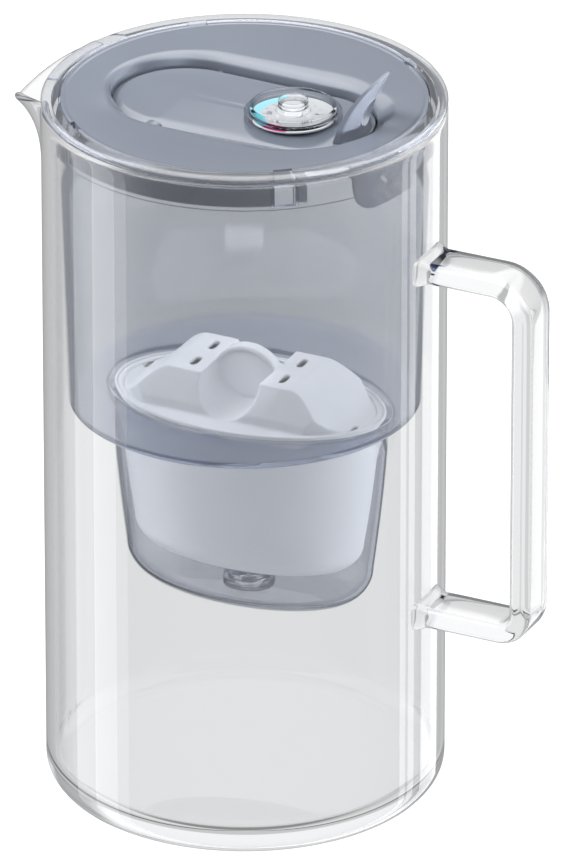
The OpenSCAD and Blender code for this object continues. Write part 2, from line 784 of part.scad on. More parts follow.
// Lug that slides down a groove of the hopper
module lug() {
    root_r = skirt_r - skirt_t / 2;
    tip_r = mouth_r + lug_reach - lid_gap;
    translate([root_r, -lug_w / 2, skirt_z]) cube([tip_r - root_r, lug_w, lug_h]);
}

module rim_notch() {
    translate([skirt_r - 0.6, -groove_w / 2, shallow_skirt_z])
        cube([jug_r, groove_w, 2 * flange_t + collar_h]);
}

// ---- Flap ----

module flap() {
    color([0.6, 0.64, 0.7]) difference() {
        union() {
            loft([flap_egg(-0.4, flap_low_z), flap_egg(0, flap_low_z + 0.4), flap_egg(0, edge_z - 0.4),
                  flap_egg(-0.4, edge_z), flap_egg(-border_w * 0.4, edge_z + border_drop * 0.55),
                  flap_egg(-border_w * 0.75, edge_z + border_drop * 0.9), flap_egg(-border_w, flap_z)]);
            for (s = [-1, 1]) translate([-hinge_x, s * (flap_r1 - 2), hinge_z])
                rotate([-90 * s, 0, 0]) cylinder(r = pin_r, h = pin_len + 2, $fn = 48);
            petal();
        }
        translate([dial_x, 0, flap_low_z - over])
            cylinder(r = spindle_r + pin_clear, h = flap_t + border_drop + 2 * over);
    }
}

// Point on the petal: s runs from foot to tip, t from one side to the other
function petal_point(s, t, side) =
    let (half = petal_w * (1 - 0.3 * s) * max(0, 1 - s ^ 4) ^ 0.6 + 0.5 * s,
         y = t * half,
         curl = petal_curl * (y / petal_w) ^ 2,
         thick = petal_t * (1 - 0.45 * s) * (1 - 0.35 * t * t))
    [petal_x + petal_lean * s ^ 1.6 - curl + side * thick / 2, y, petal_foot_z + (petal_h + 0.6) * s];

// Leaf-shaped finger tab with an eye
module petal() {
    rows = 14;
    cols = 12;
    difference() {
        loft([for (k = [0:rows]) let (s = k / rows)
            concat([for (i = [0:cols]) petal_point(s, -1 + 2 * i / cols, 1)],
                   [for (i = [cols:-1:0]) petal_point(s, -1 + 2 * i / cols, -1)])]);
        translate([petal_x + 2, 0, flap_z + petal_h * 0.22]) rotate([0, 90, 0])
            linear_extrude(4 * petal_t, center = true) {
                square([eye_h - eye_w, eye_w], center = true);
                for (s = [-1, 1]) translate([s * (eye_h - eye_w) / 2, 0]) circle(eye_w / 2, $fn = 32);
            }
    }
}

// ---- Dial ----

module dial_bezel() {
    bore = dish_r + seat_gap;
    color([0.85, 0.88, 0.9, 0.5]) translate([dial_x, 0, flap_z]) rotate_extrude()
        polygon([[bore, 0], [bezel_r, 0], [bezel_r, bezel_h - 0.6],
                 [bezel_r - 0.6, bezel_h], [bore, bezel_h]]);
}

module dial_disc() {
    color("white") translate([dial_x, 0, flap_z]) difference() {
        cylinder(r = dish_r - 0.2, h = disc_t);
        translate([0, 0, -over]) cylinder(r = spindle_r + 0.5, h = disc_t + 2 * over);
    }
}

// Clear dish that turns over the printed disc, with a spool-shaped knob
module dial_knob() {
    low = disc_t + seat_gap;
    barb_z = flap_low_z - flap_z - seat_gap;
    waist = knob_r * 0.78;
    foot = knob_r + 0.8;
    bead_z = (low + dish_t + knob_h) / 2;
    color([0.9, 0.93, 0.95, 0.4]) translate([dial_x, 0, flap_z]) rotate_extrude() {
        polygon([[0, low], [dish_r, low], [dish_r, dish_h], [dish_r - dish_t, dish_h],
                 [dish_r - dish_t, low + dish_t], [foot, low + dish_t], [foot, low + dish_t + 0.9],
                 [waist, low + dish_t + 1.2], [waist, bead_z - 0.5], [knob_r, bead_z - 0.3],
                 [knob_r, bead_z + 0.3], [waist, bead_z + 0.5], [waist, knob_h - 1.4],
                 [knob_r, knob_h - 1.1],
                 [knob_r, knob_h - 0.4], [knob_r - 0.4, knob_h], [0, knob_h]]);
        square([spindle_r, low + 0.01]);
        translate([0, barb_z - 1.2]) square([spindle_r, 1.2 - barb_z + 0.01]);
        translate([0, barb_z - 1.2]) polygon([[0, 0], [spindle_r, 0], [spindle_r + 0.7, 1.2], [0, 1.2]]);
    }
}

glass_body();
glass_handle();
hopper();
cartridge_cup();
cartridge_cap();
inlet_screen();
filter_media();
outlet_screen();
lid_shell();
flap();
dial_bezel();
dial_disc();
dial_knob();
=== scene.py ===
# %% [markdown]
# # A water filter pitcher with a flip lid
#
# The real thing is a blown glass jug. A smoky plastic hopper hangs in its mouth, and a
# white filter cartridge stands in the hopper's well. A satin lid closes the hopper. Its
# flap rocks open for filling and carries a reminder dial. We dress the engineering model
# of the jug in finished meshes and materials, one piece at a time. Sizes are in
# millimetres in the text and in metres in Blender.

# %% Load the engineering model
import math

import bmesh
import bpy
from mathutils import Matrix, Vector


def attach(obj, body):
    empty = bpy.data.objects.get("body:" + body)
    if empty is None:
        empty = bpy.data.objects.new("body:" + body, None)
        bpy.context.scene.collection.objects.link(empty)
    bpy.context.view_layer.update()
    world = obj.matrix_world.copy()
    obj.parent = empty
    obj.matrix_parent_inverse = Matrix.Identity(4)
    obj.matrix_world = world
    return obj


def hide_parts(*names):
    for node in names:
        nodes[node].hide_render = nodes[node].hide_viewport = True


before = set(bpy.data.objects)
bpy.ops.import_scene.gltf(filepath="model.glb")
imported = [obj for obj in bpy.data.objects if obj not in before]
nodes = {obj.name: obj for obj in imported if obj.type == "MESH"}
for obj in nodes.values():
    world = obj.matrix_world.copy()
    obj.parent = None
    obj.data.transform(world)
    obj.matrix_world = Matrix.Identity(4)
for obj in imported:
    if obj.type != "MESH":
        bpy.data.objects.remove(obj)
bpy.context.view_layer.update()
MM = 0.001
print("pieces of the engineering model:", sorted(nodes))

# %% [markdown]
# Most of the jug's pieces are rings. A bottle, a bowl or an oval well is a stack of closed
# outlines, joined one to the next. One helper turns such a stack into a mesh. When the
# stack ends where it began, the shell closes on itself like a tyre. Otherwise both ends
# are closed with a fan round their middle.

# %% Helpers that build meshes
RING = 192


def turn(i, count=RING):
    """The angle of point i on a ring."""
    return 2 * math.pi * i / count


def circle(r, z, x=0.0, count=RING):
    angles = [turn(i, count) for i in range(count)]
    return [(x + r * math.cos(a), r * math.sin(a), z) for a in angles]


def between(low, high, share):
    """The ring that lies between two rings."""
    return [tuple(a + (b - a) * share for a, b in zip(p, q)) for p, q in zip(low, high)]


def arc(cx, cz, r, start, end, steps):
    """Points on an arc of a profile. Angles are in degrees, and 0 points outward."""
    angles = [math.radians(start + (end - start) * k / steps) for k in range(steps + 1)]
    return [(cx + r * math.cos(a), cz + r * math.sin(a)) for a in angles]


def new_object(name, mesh):
    piece = bpy.data.objects.new(name, mesh)
    bpy.context.scene.collection.objects.link(piece)
    return piece


def smooth(piece, sharp=35):
    """Smooth shading that stays crisp where faces meet at more than this angle."""
    piece.data.shade_smooth()
    piece.data.set_sharp_from_angle(angle=math.radians(sharp))


def mesh_from(name, points, faces, sharp=35):
    """A closed mesh from points in millimetres, with its faces turned outward."""
    mesh = bpy.data.meshes.new(name)
    mesh.from_pydata([Vector(p) * MM for p in points], [], faces)
    work = bmesh.new()
    work.from_mesh(mesh)
    bmesh.ops.remove_doubles(work, verts=work.verts, dist=1e-7)
    bmesh.ops.recalc_face_normals(work, faces=work.faces)
    work.to_mesh(mesh)
    work.free()
    piece = new_object(name, mesh)
    smooth(piece, sharp)
    return piece


def stack(name, rings, tyre=False, sharp=35):
    """Joins rings of equal count into a closed shell."""
    count = len(rings[0])
    points = [p for ring in rings for p in ring]
    bands = len(rings) if tyre else len(rings) - 1
    faces = []
    for k in range(bands):
        low, high = k * count, (k + 1) % len(rings) * count
        for i in range(count):
            j = (i + 1) % count
            faces.append((low + i, low + j, high + j, high + i))
    if not tyre:
        for ring, first in ((rings[0], 0), (rings[-1], (len(rings) - 1) * count)):
            middle = len(points)
            points.append(tuple(sum(p[a] for p in ring) / count for a in range(3)))
            faces += [(first + i, first + (i + 1) % count, middle) for i in range(count)]
    return mesh_from(name, points, faces, sharp)


def lathe(name, profile, x=0.0, tyre=False, sharp=35, count=RING):
    """Turns a profile of (radius, height) points round a vertical axis."""
    return stack(name, [circle(r, h, x, count) for r, h in profile], tyre, sharp)


def join(name, pieces, sharp=35):
    """Puts several closed shells into one object."""
    work = bmesh.new()
    for piece in pieces:
        work.from_mesh(piece.data)
    mesh = bpy.data.meshes.new(name)
    work.to_mesh(mesh)
    work.free()
    for piece in pieces:
        bpy.data.objects.remove(piece)
    whole = new_object(name, mesh)
    smooth(whole, sharp)
    return whole


def freeze(piece):
    """Replaces the mesh by what its modifiers make of it, and removes them."""
    graph = bpy.context.evaluated_depsgraph_get()
    mesh = bpy.data.meshes.new_from_object(piece.evaluated_get(graph))
    piece.modifiers.clear()
    piece.data = mesh
    return piece


def cut(piece, cutter, sharp=35):
    """Cuts one closed shape out of another."""
    change = piece.modifiers.new("cut", "BOOLEAN")
    change.operation = "DIFFERENCE"
    change.object = cutter
    change.solver = "EXACT"
    freeze(piece)
    bpy.data.objects.remove(cutter)
    smooth(piece, sharp)
    return piece


def one_material(piece, material):
    """Gives the whole piece one material."""
    piece.data.materials.clear()
    piece.data.materials.append(material)
    for face in piece.data.polygons:
        face.material_index = 0


def limited(value):
    """The value, held between 0 and 1."""
    return min(1.0, max(0.0, value))


def soft_step(share):
    """A share that starts and ends gently."""
    return share * share * (3 - 2 * share)


def block(name, x, y, z, size, angle=0.0):
    """A cutter: a box about (x, y, z), turned about the jug's axis."""
    c, s = math.cos(angle), math.sin(angle)
    points = []
    for dz in (-1, 1):
        for dx, dy in ((-1, -1), (1, -1), (1, 1), (-1, 1)):
            px, py = x + dx * size[0] / 2, y + dy * size[1] / 2
            points.append((px * c - py * s, px * s + py * c, z + dz * size[2] / 2))
    faces = [(3, 2, 1, 0), (4, 5, 6, 7)] + [(i, (i + 1) % 4, (i + 1) % 4 + 4, i + 4) for i in range(4)]
    return mesh_from(name, points, faces)


print("a ring has", RING, "points")

# %% [markdown]
# Materials and Geometry Nodes are both trees of nodes. Long sums are hard to read as
# nodes, so one small class wraps a socket: Python's + - * / on it add the Math nodes. Any
# other node comes from one method, add.

# %% Helpers that build node trees


class Value:
    """A socket that adds Math nodes when Python does sums with it."""

    def __init__(self, tree, socket):
        self.tree, self.socket = tree, socket

    def math(self, operation, *others):
        return self.tree.add("ShaderNodeMath", {"operation": operation}, dict(enumerate((self,) + others)))

    def __add__(self, other):
        return self.math("ADD", other)

    def __radd__(self, other):
        return self.math("ADD", other)

    def __sub__(self, other):
        return self.math("SUBTRACT", other)

    def __rsub__(self, other):
        return self.tree.add("ShaderNodeMath", {"operation": "SUBTRACT"}, {0: other, 1: self})

    def __mul__(self, other):
        return self.math("MULTIPLY", other)

    def __rmul__(self, other):
        return self.math("MULTIPLY", other)

    def __truediv__(self, other):
        return self.math("DIVIDE", other)

    def __rtruediv__(self, other):
        return self.tree.add("ShaderNodeMath", {"operation": "DIVIDE"}, {0: other, 1: self})

    def __pow__(self, other):
        return self.math("POWER", other)

    def __neg__(self):
        return self.math("MULTIPLY", -1.0)

    def least(self, other):
        return self.math("MINIMUM", other)

    def most(self, other):
        return self.math("MAXIMUM", other)

    def rise(self, start, end):
        """0 before start, 1 after end, and a soft step between."""
        return self.tree.add(
            "ShaderNodeMapRange", {"interpolation_type": "SMOOTHSTEP"},
            {"Value": self, "From Min": start, "From Max": end},
        )


class Tree:
    """Adds nodes to a material, the world or a Geometry Nodes group."""

    def __init__(self, tree):
        self.tree = tree

    def add(self, kind, settings=None, inputs=None, output=0):
        node = self.tree.nodes.new(kind)
        for name, value in (settings or {}).items():
            setattr(node, name, value)
        for name, value in (inputs or {}).items():
            if isinstance(value, Value):
                self.tree.links.new(value.socket, node.inputs[name])
            else:
                node.inputs[name].default_value = value
        return Value(self, node.outputs[output])

    def mix(self, first, second, share):
        """A colour between two colours."""
        colours = [c if isinstance(c, Value) else (*c, 1.0) for c in (first, second)]
        return self.add(
            "ShaderNodeMix", {"data_type": "RGBA"}, {0: share, 6: colours[0], 7: colours[1]}, 2
        )

    def noise(self, where, scale, detail=2.0):
        return self.add("ShaderNodeTexNoise", None, {"Vector": where, "Scale": scale, "Detail": detail})

    def bump(self, height, depth):
        """A bump of that depth in metres."""
        return self.add("ShaderNodeBump", None, {"Height": height, "Distance": depth})

    def place(self, stretch=(1.0, 1.0, 1.0), shift=(0.0, 0.0, 0.0)):
        """Object coordinates in metres, stretched and shifted."""
        spot = self.add("ShaderNodeTexCoord", output="Object")
        return self.add("ShaderNodeMapping", None, {"Vector": spot, "Scale": stretch, "Location": shift})

    def split(self, vector):
        node = self.add("ShaderNodeSeparateXYZ", None, {0: vector}).socket.node
        return [Value(self, node.outputs[i]) for i in range(3)]


def new_material(name):
    """An empty material and its tree."""
    material = bpy.data.materials.new(name)
    material.use_nodes = True
    material.node_tree.nodes.clear()
    return material, Tree(material.node_tree)


def surface(tree, shader):
    output = tree.tree.nodes.new("ShaderNodeOutputMaterial")
    tree.tree.links.new(shader.socket, output.inputs["Surface"])


print("node helpers are ready")

# %% [markdown]
# **Clear glass.** Blown glass is clear, but its edges look grey, because light that grazes
# the wall passes through a lot of glass. Layer Weight knows how far a surface turns from
# the eye, so the colour falls to grey there. Light reaches what is inside: rays that look
# for a lamp, or that gather soft light, meet a Transparent shader instead. A faint bump
# stands for the soft waves that blowing leaves.

# %% Clear and smoky see-through materials


def see_through(
    name, colour, edge, turned, ior, lamp_colour, wave,
    clear=1.0, roughness=0.0, coat=0.0, trapped=None, painted_bands=(),
):
    """A clear material whose colour goes to the edge colour where it turns from the eye.
    turned is a power for a soft change, or the two limits of a crisp one.
    Each painted band names two heights in metres, and a colour that takes over between them: painted light
    where it is paler, painted shade where it is darker.
    Light that was mirrored once inside the wall leaves it straight in the trapped colour,
    or a thick rim would hold it and turn black."""
    material, tree = new_material(name)
    facing = tree.add("ShaderNodeLayerWeight", None, {"Blend": 0.5}, "Facing")
    tint = tree.mix(colour, edge, facing.rise(*turned) if isinstance(turned, tuple) else facing**turned)
    level = tree.split(tree.place())[2]
    soft = 0.8 * MM
    # Bands of painted light and painted shade, laid on by height.
    for low, high, band_tint in painted_bands:
        over, under = level.rise(low - soft, low + soft), level.rise(high - soft, high + soft)
        tint = tree.mix(tint, band_tint, over * (1.0 - under))
    height = tree.noise(tree.place((1.0, 1.0, 0.35)), wave[0])
    glass = tree.add(
        "ShaderNodeBsdfPrincipled",
        None,
        {
            "Base Color": tint,
            "Roughness": roughness,
            "IOR": ior,
            "Transmission Weight": clear,
            "Coat Weight": coat,
            "Coat Roughness": roughness,
            "Normal": tree.bump(height, wave[1]),
        },
    )
    lamp = tree.add("ShaderNodeBsdfTransparent", None, {"Color": (*lamp_colour, 1.0)})
    way_out = tree.add("ShaderNodeBsdfTransparent", None, {"Color": (*(trapped or lamp_colour), 1.0)})
    mirrored = tree.add("ShaderNodeLightPath", output="Is Glossy Ray")
    shader = tree.add("ShaderNodeMixShader", None, {0: mirrored, 1: glass, 2: way_out})
    bent = tree.add("ShaderNodeLightPath", output="Is Transmission Ray")
    shader = tree.add("ShaderNodeMixShader", None, {0: bent, 1: shader, 2: glass})
    for ray in ("Is Shadow Ray", "Is Diffuse Ray"):
        straight = tree.add("ShaderNodeLightPath", output=ray)
        shader = tree.add("ShaderNodeMixShader", None, {0: straight, 1: shader, 2: lamp})
    surface(tree, shader)
    return material


clear_glass = see_through(
    "clear glass", (0.97, 0.975, 0.98), (0.6, 0.61, 0.63), 3.0, 1.45,
    (0.96, 0.965, 0.97), (28.0, 0.00004),
)
strap_glass = see_through(
    "solid strap glass", (0.97, 0.973, 0.977), (0.3, 0.31, 0.33), 2.5, 1.45,
    (0.96, 0.965, 0.97), (28.0, 0.00003),
)
# The smoky plastic is painted paler from 239.5 mm up, painted light on the flange and collar, and darker from
# 133.5 to 141 mm, painted shade round the well's rim under the cap.
smoky_plastic = see_through(
    "smoky plastic", (0.705, 0.72, 0.752), (0.45, 0.49, 0.57), (0.56, 0.66), 1.2, (0.94, 0.945, 0.955),
    (24.0, 0.00001), 0.94, 0.03, 1.0, (0.42, 0.46, 0.55),
    ((0.2395, 0.3, (0.92, 0.93, 0.95)), (0.1335, 0.141, (0.58, 0.61, 0.69))),
)
dial_plastic = see_through(
    "clear dial plastic", (0.97, 0.975, 0.98), (0.05, 0.06, 0.08), 2.2, 1.04, (0.97, 0.975, 0.98),
    (90.0, 0.00001), 1.0, 0.0, 0.2, (0.25, 0.27, 0.31),
)
print("see-through materials:", clear_glass.name, "/", smoky_plastic.name, "/", dial_plastic.name)

# %% [markdown]
# ** Moulded plastic.** The lid is satin blue-grey, the cartridge matt white. Both have the
# fine even tooth of a blasted mould and a faint cloudiness in the colour. Low under its
# deck the lid is painted near black, and the cap is a darker copy of the cup's white:
# both are painted shade.

# %% Opaque plastics


def moulded(name, colour, cloud, roughness, tooth, depth, below=None):
    """Moulded plastic with a fine tooth and a faint cloudiness.
    below names two heights in metres, and a darker colour, painted shade, that takes over under them."""
    material, tree = new_material(name)
    spot = tree.place()
    clouds = tree.noise(spot, 35.0, 3.0)
    grain = tree.noise(spot, tooth, 3.0)
    tint = tree.mix(colour, cloud, clouds.rise(0.35, 0.7))
    # Painted shade: under the given heights the colour turns darker.
    if below:
        tint = tree.mix(below[2], tint, tree.split(spot)[2].rise(below[0], below[1]))
    plastic = tree.add(
        "ShaderNodeBsdfPrincipled",
        None,
        {
            "Base Color": tint,
            "Roughness": roughness + (grain - 0.5) * 0.06,
            "IOR": 1.49,
            "Normal": tree.bump(grain, depth),
        },
    )
    surface(tree, plastic)
    return material


# The lid plastic turns near black below 237.5 mm: painted shade on the lower skirt, the tongue and the
# ledge's underside.
lid_plastic = moulded(
    "satin lid plastic", (0.132, 0.148, 0.182), (0.136, 0.152, 0.186), 0.2, 2600.0, 0.0000012,
    (0.2375, 0.2388, (0.04, 0.05, 0.078)),
)
white_plastic = moulded(
    "white cartridge plastic", (0.83, 0.84, 0.86), (0.80, 0.81, 0.835), 0.42, 2200.0, 0.000012
)
# The cap is the cup's white plastic painted darker: painted shade on the cap.
cap_white_in_painted_shade = moulded(
    "white cap plastic", (0.66, 0.67, 0.69), (0.64, 0.65, 0.67), 0.42, 2200.0, 0.000012
)
print("opaque plastics:", lid_plastic.name, "/", white_plastic.name, "/", cap_white_in_painted_shade.name)

# %% [markdown]
# **The jug** is one blown wall: up the outside, over the rounded rim, down the inside and
# across the floor. A profile on a lathe makes it. The spout follows a rule, so Geometry
# Nodes pull it: near the front of the mouth each point moves out and down, by an amount
# that fades with the angle from the spout and with the distance under the rim. The wall
# keeps its thickness, because a point off the middle of the wall moves along its slope.

# %% The jug's wall on a lathe
JUG_R, JUG_H, WALL, FLOOR = 66.0, 242.2, 3.0, 6.5
SPOUT_RISE, MID_R = 22.5, JUG_R - WALL / 2
wall_steps = [40 + 8 * k for k in range(21)] + [200 + 1.25 * k for k in range(1, 32)]
outside = [(0.02, 0.7), (18, 0.65), (36, 0.45), (48, 0.12), (53, 0.0)]
outside += arc(JUG_R - 9, 9, 9, -90, 0, 14) + [(JUG_R, z) for z in (14, 20, 30)]
outside += [(JUG_R, z) for z in wall_steps]
rim = arc(MID_R, JUG_H - WALL / 2, WALL / 2, 0, 180, 12)
inside = [(JUG_R - WALL, z) for z in reversed(wall_steps)]
inside += [(JUG_R - WALL, z) for z in (30, 22)] + arc(JUG_R - WALL - 8, FLOOR + 8, 8, 0, -90, 14)
inside += [(46, FLOOR + 0.05), (28, FLOOR + 0.25), (0.02, FLOOR + 0.4)]
jug = lathe("glass_jug", outside + rim + inside, count=256)
print("jug wall:", len(jug.data.vertices), "points")

# %% Geometry Nodes that pull the spout


def node_group(name, sizes):
    """A Geometry Nodes group with one named input for each size."""
    group = bpy.data.node_groups.new(name, "GeometryNodeTree")
    group.interface.new_socket("Geometry", in_out="INPUT", socket_type="NodeSocketGeometry")
    group.interface.new_socket("Geometry", in_out="OUTPUT", socket_type="NodeSocketGeometry")
    for size, kind, value in sizes:
        socket = group.interface.new_socket(size, in_out="INPUT", socket_type="NodeSocket" + kind)
        if kind != "Material":
            socket.default_value = value
    tree = Tree(group)
    entry = group.nodes.new("NodeGroupInput")
    inputs = {s.name: Value(tree, s) for s in entry.outputs if s.name}
    return group, tree, inputs


def run_nodes(piece, group, sizes, sharp=35):
    """Runs the group on the piece with these sizes, and keeps the plain mesh."""
    change = piece.modifiers.new("nodes", "NODES")
    change.node_group = group
    for item in group.interface.items_tree:
        if item.in_out == "INPUT" and item.name in sizes:
            change[item.identifier] = sizes[item.name]
    freeze(piece)
    smooth(piece, sharp)
    return piece


def deliver(tree, geometry):
    """Hands the geometry to the group's output."""
    finish = tree.tree.nodes.new("NodeGroupOutput")
    tree.tree.links.new(geometry.socket, finish.inputs[0])


def ring_of_copies(name, shape, sizes, outward=True, one_in_middle=False):
    """An object made of copies of a shape round a ring. shape adds the node that makes one
    copy, and sizes holds the group's named inputs: Count, Reach, Height, Middle, and a
    material if the copies have one."""
    kinds = {int: "Int", float: "Float"}
    inputs = [(k, kinds.get(type(v), "Material"), v) for k, v in sizes.items()]
    group, gn, size = node_group(name, inputs)
    copy = shape(gn, size)
    spots = gn.add("GeometryNodeMeshCircle", None, {"Vertices": size["Count"], "Radius": size["Reach"]})
    if one_in_middle:
        middle = gn.add("GeometryNodeMeshLine", None, {"Count": 1})
        spots = gn.add("GeometryNodeJoinGeometry", None, {0: spots})
        gn.tree.links.new(middle.socket, spots.socket.node.inputs[0])
    placing = {"Points": spots, "Instance": copy}
    if outward:
        spot_x, spot_y, _ = gn.split(gn.add("GeometryNodeInputPosition"))
        placing["Rotation"] = gn.add("ShaderNodeCombineXYZ", None, {2: spot_y.math("ARCTAN2", spot_x)})
    copies = gn.add("GeometryNodeInstanceOnPoints", None, placing)
    lift = gn.add("ShaderNodeCombineXYZ", None, {0: size["Middle"], 2: size["Height"]})
    copies = gn.add("GeometryNodeTransform", None, {"Geometry": copies, "Translation": lift})
    copies = gn.add("GeometryNodeRealizeInstances", None, {0: copies})
    if "Finish" in sizes:
        copies = gn.add("GeometryNodeSetMaterial", None, {"Geometry": copies, "Material": size["Finish"]})
    deliver(gn, copies)
    piece = new_object(name, bpy.data.meshes.new(name))
    return run_nodes(piece, group, sizes)


SPOUT_SIZES = {
    "Reach": 18.6 * MM, "Drop": 14.4 * MM, "Rise": SPOUT_RISE * MM, "Height": JUG_H * MM,
    "Middle Radius": MID_R * MM, "Half Angle": math.radians(27.0), "Bend": 1.6,
}
spout_nodes, gn, size = node_group("Pull the spout", [(k, "Float", v) for k, v in SPOUT_SIZES.items()])
x, y, z = gn.split(gn.add("GeometryNodeInputPosition"))
radius = (x * x + y * y) ** 0.5
angle = y.math("ARCTAN2", -x).math("ABSOLUTE")
near = (1.0 - angle / size["Half Angle"]).most(0.0)
fade = near * near / (near + 0.04)
foot = size["Height"] - size["Rise"]
share = ((z - foot) / size["Rise"]).most(0.0)
reach = size["Reach"] * fade ** 0.7
lip = size["Rise"] - size["Drop"] * fade ** 1.6
out_slope = reach * size["Bend"] * share ** (size["Bend"] - 1.0)
slope = (out_slope * out_slope + lip * lip) ** 0.5
depth = radius - size["Middle Radius"]
new_radius = size["Middle Radius"] + reach * share ** size["Bend"] + depth * lip / slope
new_height = foot + lip * share - depth * out_slope / slope
moved = gn.add(
    "ShaderNodeCombineXYZ", None,
    {0: x / radius * new_radius, 1: y / radius * new_radius, 2: new_height},
)
at_spout = gn.add("FunctionNodeCompare", {"operation": "GREATER_THAN"}, {0: share * fade, 1: 0.0})
placed = gn.add(
    "GeometryNodeSetPosition", None,
    {"Geometry": size["Geometry"], "Selection": at_spout, "Position": moved},
)
whole = gn.add("GeometryNodeRealizeInstances", None, {0: placed})
deliver(gn, whole)
run_nodes(jug, spout_nodes, SPOUT_SIZES)
one_material(jug, clear_glass)
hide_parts("glass_body")
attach(jug, "jug")
print("spout tip in mm:", round(min(v.co.x for v in jug.data.vertices) / MM, 1))

# %% [markdown]
# **The handle** is a flat strap of solid glass with two bends. Where each end is welded on,
# the glass flows wider. A rounded outline is carried along the path of the strap and grows
# near both ends, where it swells into a low collar against the round wall.

# %% The glass strap
STRAP_T, STRAP_W, STRAP_EDGE = 7.3, 17.0, 2.5
ARM_TOP_Z, ARM_LOW_Z, GRIP_X = 197.95, 74.25, 102.65
TURN_TOP, TURN_LOW = 15 - STRAP_T / 2, 11.5 - STRAP_T / 2


def strap_outline(thick, wide, edge, steps=6):
    """Points round a flat bar with rounded edges: (across, sideways)."""
    points = []
    for cx, cy, start in ((1, 1, 0), (-1, 1, 90), (-1, -1, 180), (1, -1, 270)):
        for k in range(steps + 1):
            a = math.radians(start + 90 * k / steps)
            across = cx * (thick / 2 - edge) + edge * math.cos(a)
            points.append((across, cy * (wide / 2 - edge) + edge * math.sin(a)))
    return points


def strap_path():
    """Middle of the strap from the upper root to the lower one: (x, z, heading)."""
    path = [(x, ARM_TOP_Z, 0.0) for x in (66, 66.5, 67, 67.6, 68.2, 69, 70, 74, 80, 86)]
    for k in range(17):
        a = math.radians(90 - 90 * k / 16)
        cx, cz = GRIP_X - TURN_TOP, ARM_TOP_Z - TURN_TOP
        path.append((cx + TURN_TOP * math.cos(a), cz + TURN_TOP * math.sin(a), a - math.pi / 2))
    path += [(GRIP_X, z, -math.pi / 2) for z in (170, 150, 130, 110, 95)]
    for k in range(17):
        a = math.radians(-90 * k / 16)
        cx, cz = GRIP_X - TURN_LOW, ARM_LOW_Z + TURN_LOW
        path.append((cx + TURN_LOW * math.cos(a), cz + TURN_LOW * math.sin(a), a - math.pi / 2))
    return path + [(x, ARM_LOW_Z, -math.pi) for x in (88, 82, 76, 70, 69, 68.2, 67.6, 67, 66.5, 66)]


def strap_rings():
    rings = []
    for px, pz, heading in strap_path():
        near = max(0.0, 1 - (px - 66) / 4.0)
        swell = soft_step(near)
        outline = strap_outline(STRAP_T + 2.4 * swell, STRAP_W + 3.4 * swell, STRAP_EDGE + 0.4 * swell)
        ring = []
        for across, side in outline:
            qx, qz = px - across * math.sin(heading), pz + across * math.cos(heading)
            if near > 0:
                wall_x = math.sqrt(66.03**2 - side**2)
                qx = wall_x + (qx - 66) * (4 + 66 - wall_x) / 4
            ring.append((qx, side, qz))
        rings.append(ring)
    return rings


strap = stack("glass_strap", strap_rings(), sharp=50)
one_material(strap, strap_glass)
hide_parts("glass_handle")
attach(strap, "jug")
print("strap:", len(strap.data.vertices), "points")

# %% [markdown]
# **The hopper** is moulded from smoky clear plastic: a flange that lies on the glass, a
# collar that centres it, a tapered wall, a floor, and a deep oval well for the cartridge.
# One stack of rings runs down the outside, through the outlet, and back up the inside. The
# rings change from round to oval across the floor.

# %% The hopper's rings
TOP_Z, FLOOR_Z, WELL_Z, WELL_X = 245.0, 139.9, 70.0, 1.5
SEAT_Z, NECK_Z = 136.4, 131.4


def oval(a, b, z, x=WELL_X):
    return [(x + a * math.cos(turn(i)), b * math.sin(turn(i)), z) for i in range(RING)]


def vessel(a, b, low, high, taper, edge, edge_steps=12, wall_steps=10):
    """Rings of an oval vessel with a rounded bottom edge and walls that widen upward."""
    rings = []
    for k in range(edge_steps + 1):
        angle = math.pi / 2 * k / edge_steps
        inset = taper + edge * (1 - math.sin(angle))
        rings.append(oval(a - inset, b - inset, low + edge * (1 - math.cos(angle))))
    for k in range(1, wall_steps + 1):
        share = k / wall_steps
        inset = taper * (1 - share) ** 1.4
        rings.append(oval(a - inset, b - inset, low + edge + (high - low - edge) * share))
    return rings


down_profile = [(60.05, 244.7), (60.35, TOP_Z)] + arc(64.75, 243.75, 1.25, 90, -90, 12)
down_profile += [(62.6, 242.5), (62.3, 242.2), (62.3, 232.8), (62.0, 232.4), (60.9, 232.4)]
down_profile += [(60.7, 232.1)]
down_profile += [(60.7 - 2.9 * k / 8, 232.1 - 91.1 * k / 8) for k in range(1, 8)]
down_profile += arc(54.8, 141.0, 3.0, 0, -90, 12)
up_profile = arc(54.8, 141.0, 1.1, -90, 0, 8)
up_profile += [(55.9 + 2.9 * k / 8, 141 + 92 * k / 8) for k in range(1, 9)]
up_profile += [(58.9, 235.5), (58.9, 242.9), (59.1, 243.2), (60.05, 243.2)]
round_down = [circle(r, z) for r, z in down_profile]
round_up = [circle(r, z) for r, z in up_profile]
well_out = [oval(50.4, 33.5, 137.7), oval(50.2, 33.3, 135.2), oval(49.6, 32.8, 134.4)]
well_out += list(reversed(vessel(48.0, 31.4, WELL_Z, NECK_Z, 4.6, 12.0)))
well_in = vessel(46.1, 29.5, WELL_Z + 1.9, NECK_Z, 4.6, 10.1)
well_in += [oval(46.2, 29.3, SEAT_Z), oval(48.4, 31.5, SEAT_Z), oval(48.5, 31.6, SEAT_Z + 0.2)]
well_in += [oval(48.5, 31.6, 138.0), oval(49.4, 32.5, 139.2)]
well_in += [oval(50.5, 33.6, 139.75), oval(51.7, 34.8, FLOOR_Z)]
outlet_rings = [circle(7.0, WELL_Z, WELL_X), circle(7.0, WELL_Z + 1.9, WELL_X)]


def bridge(first, last, steps):
    """Rings that lead from one outline to another."""
    return [between(first, last, k / steps) for k in range(1, steps)]


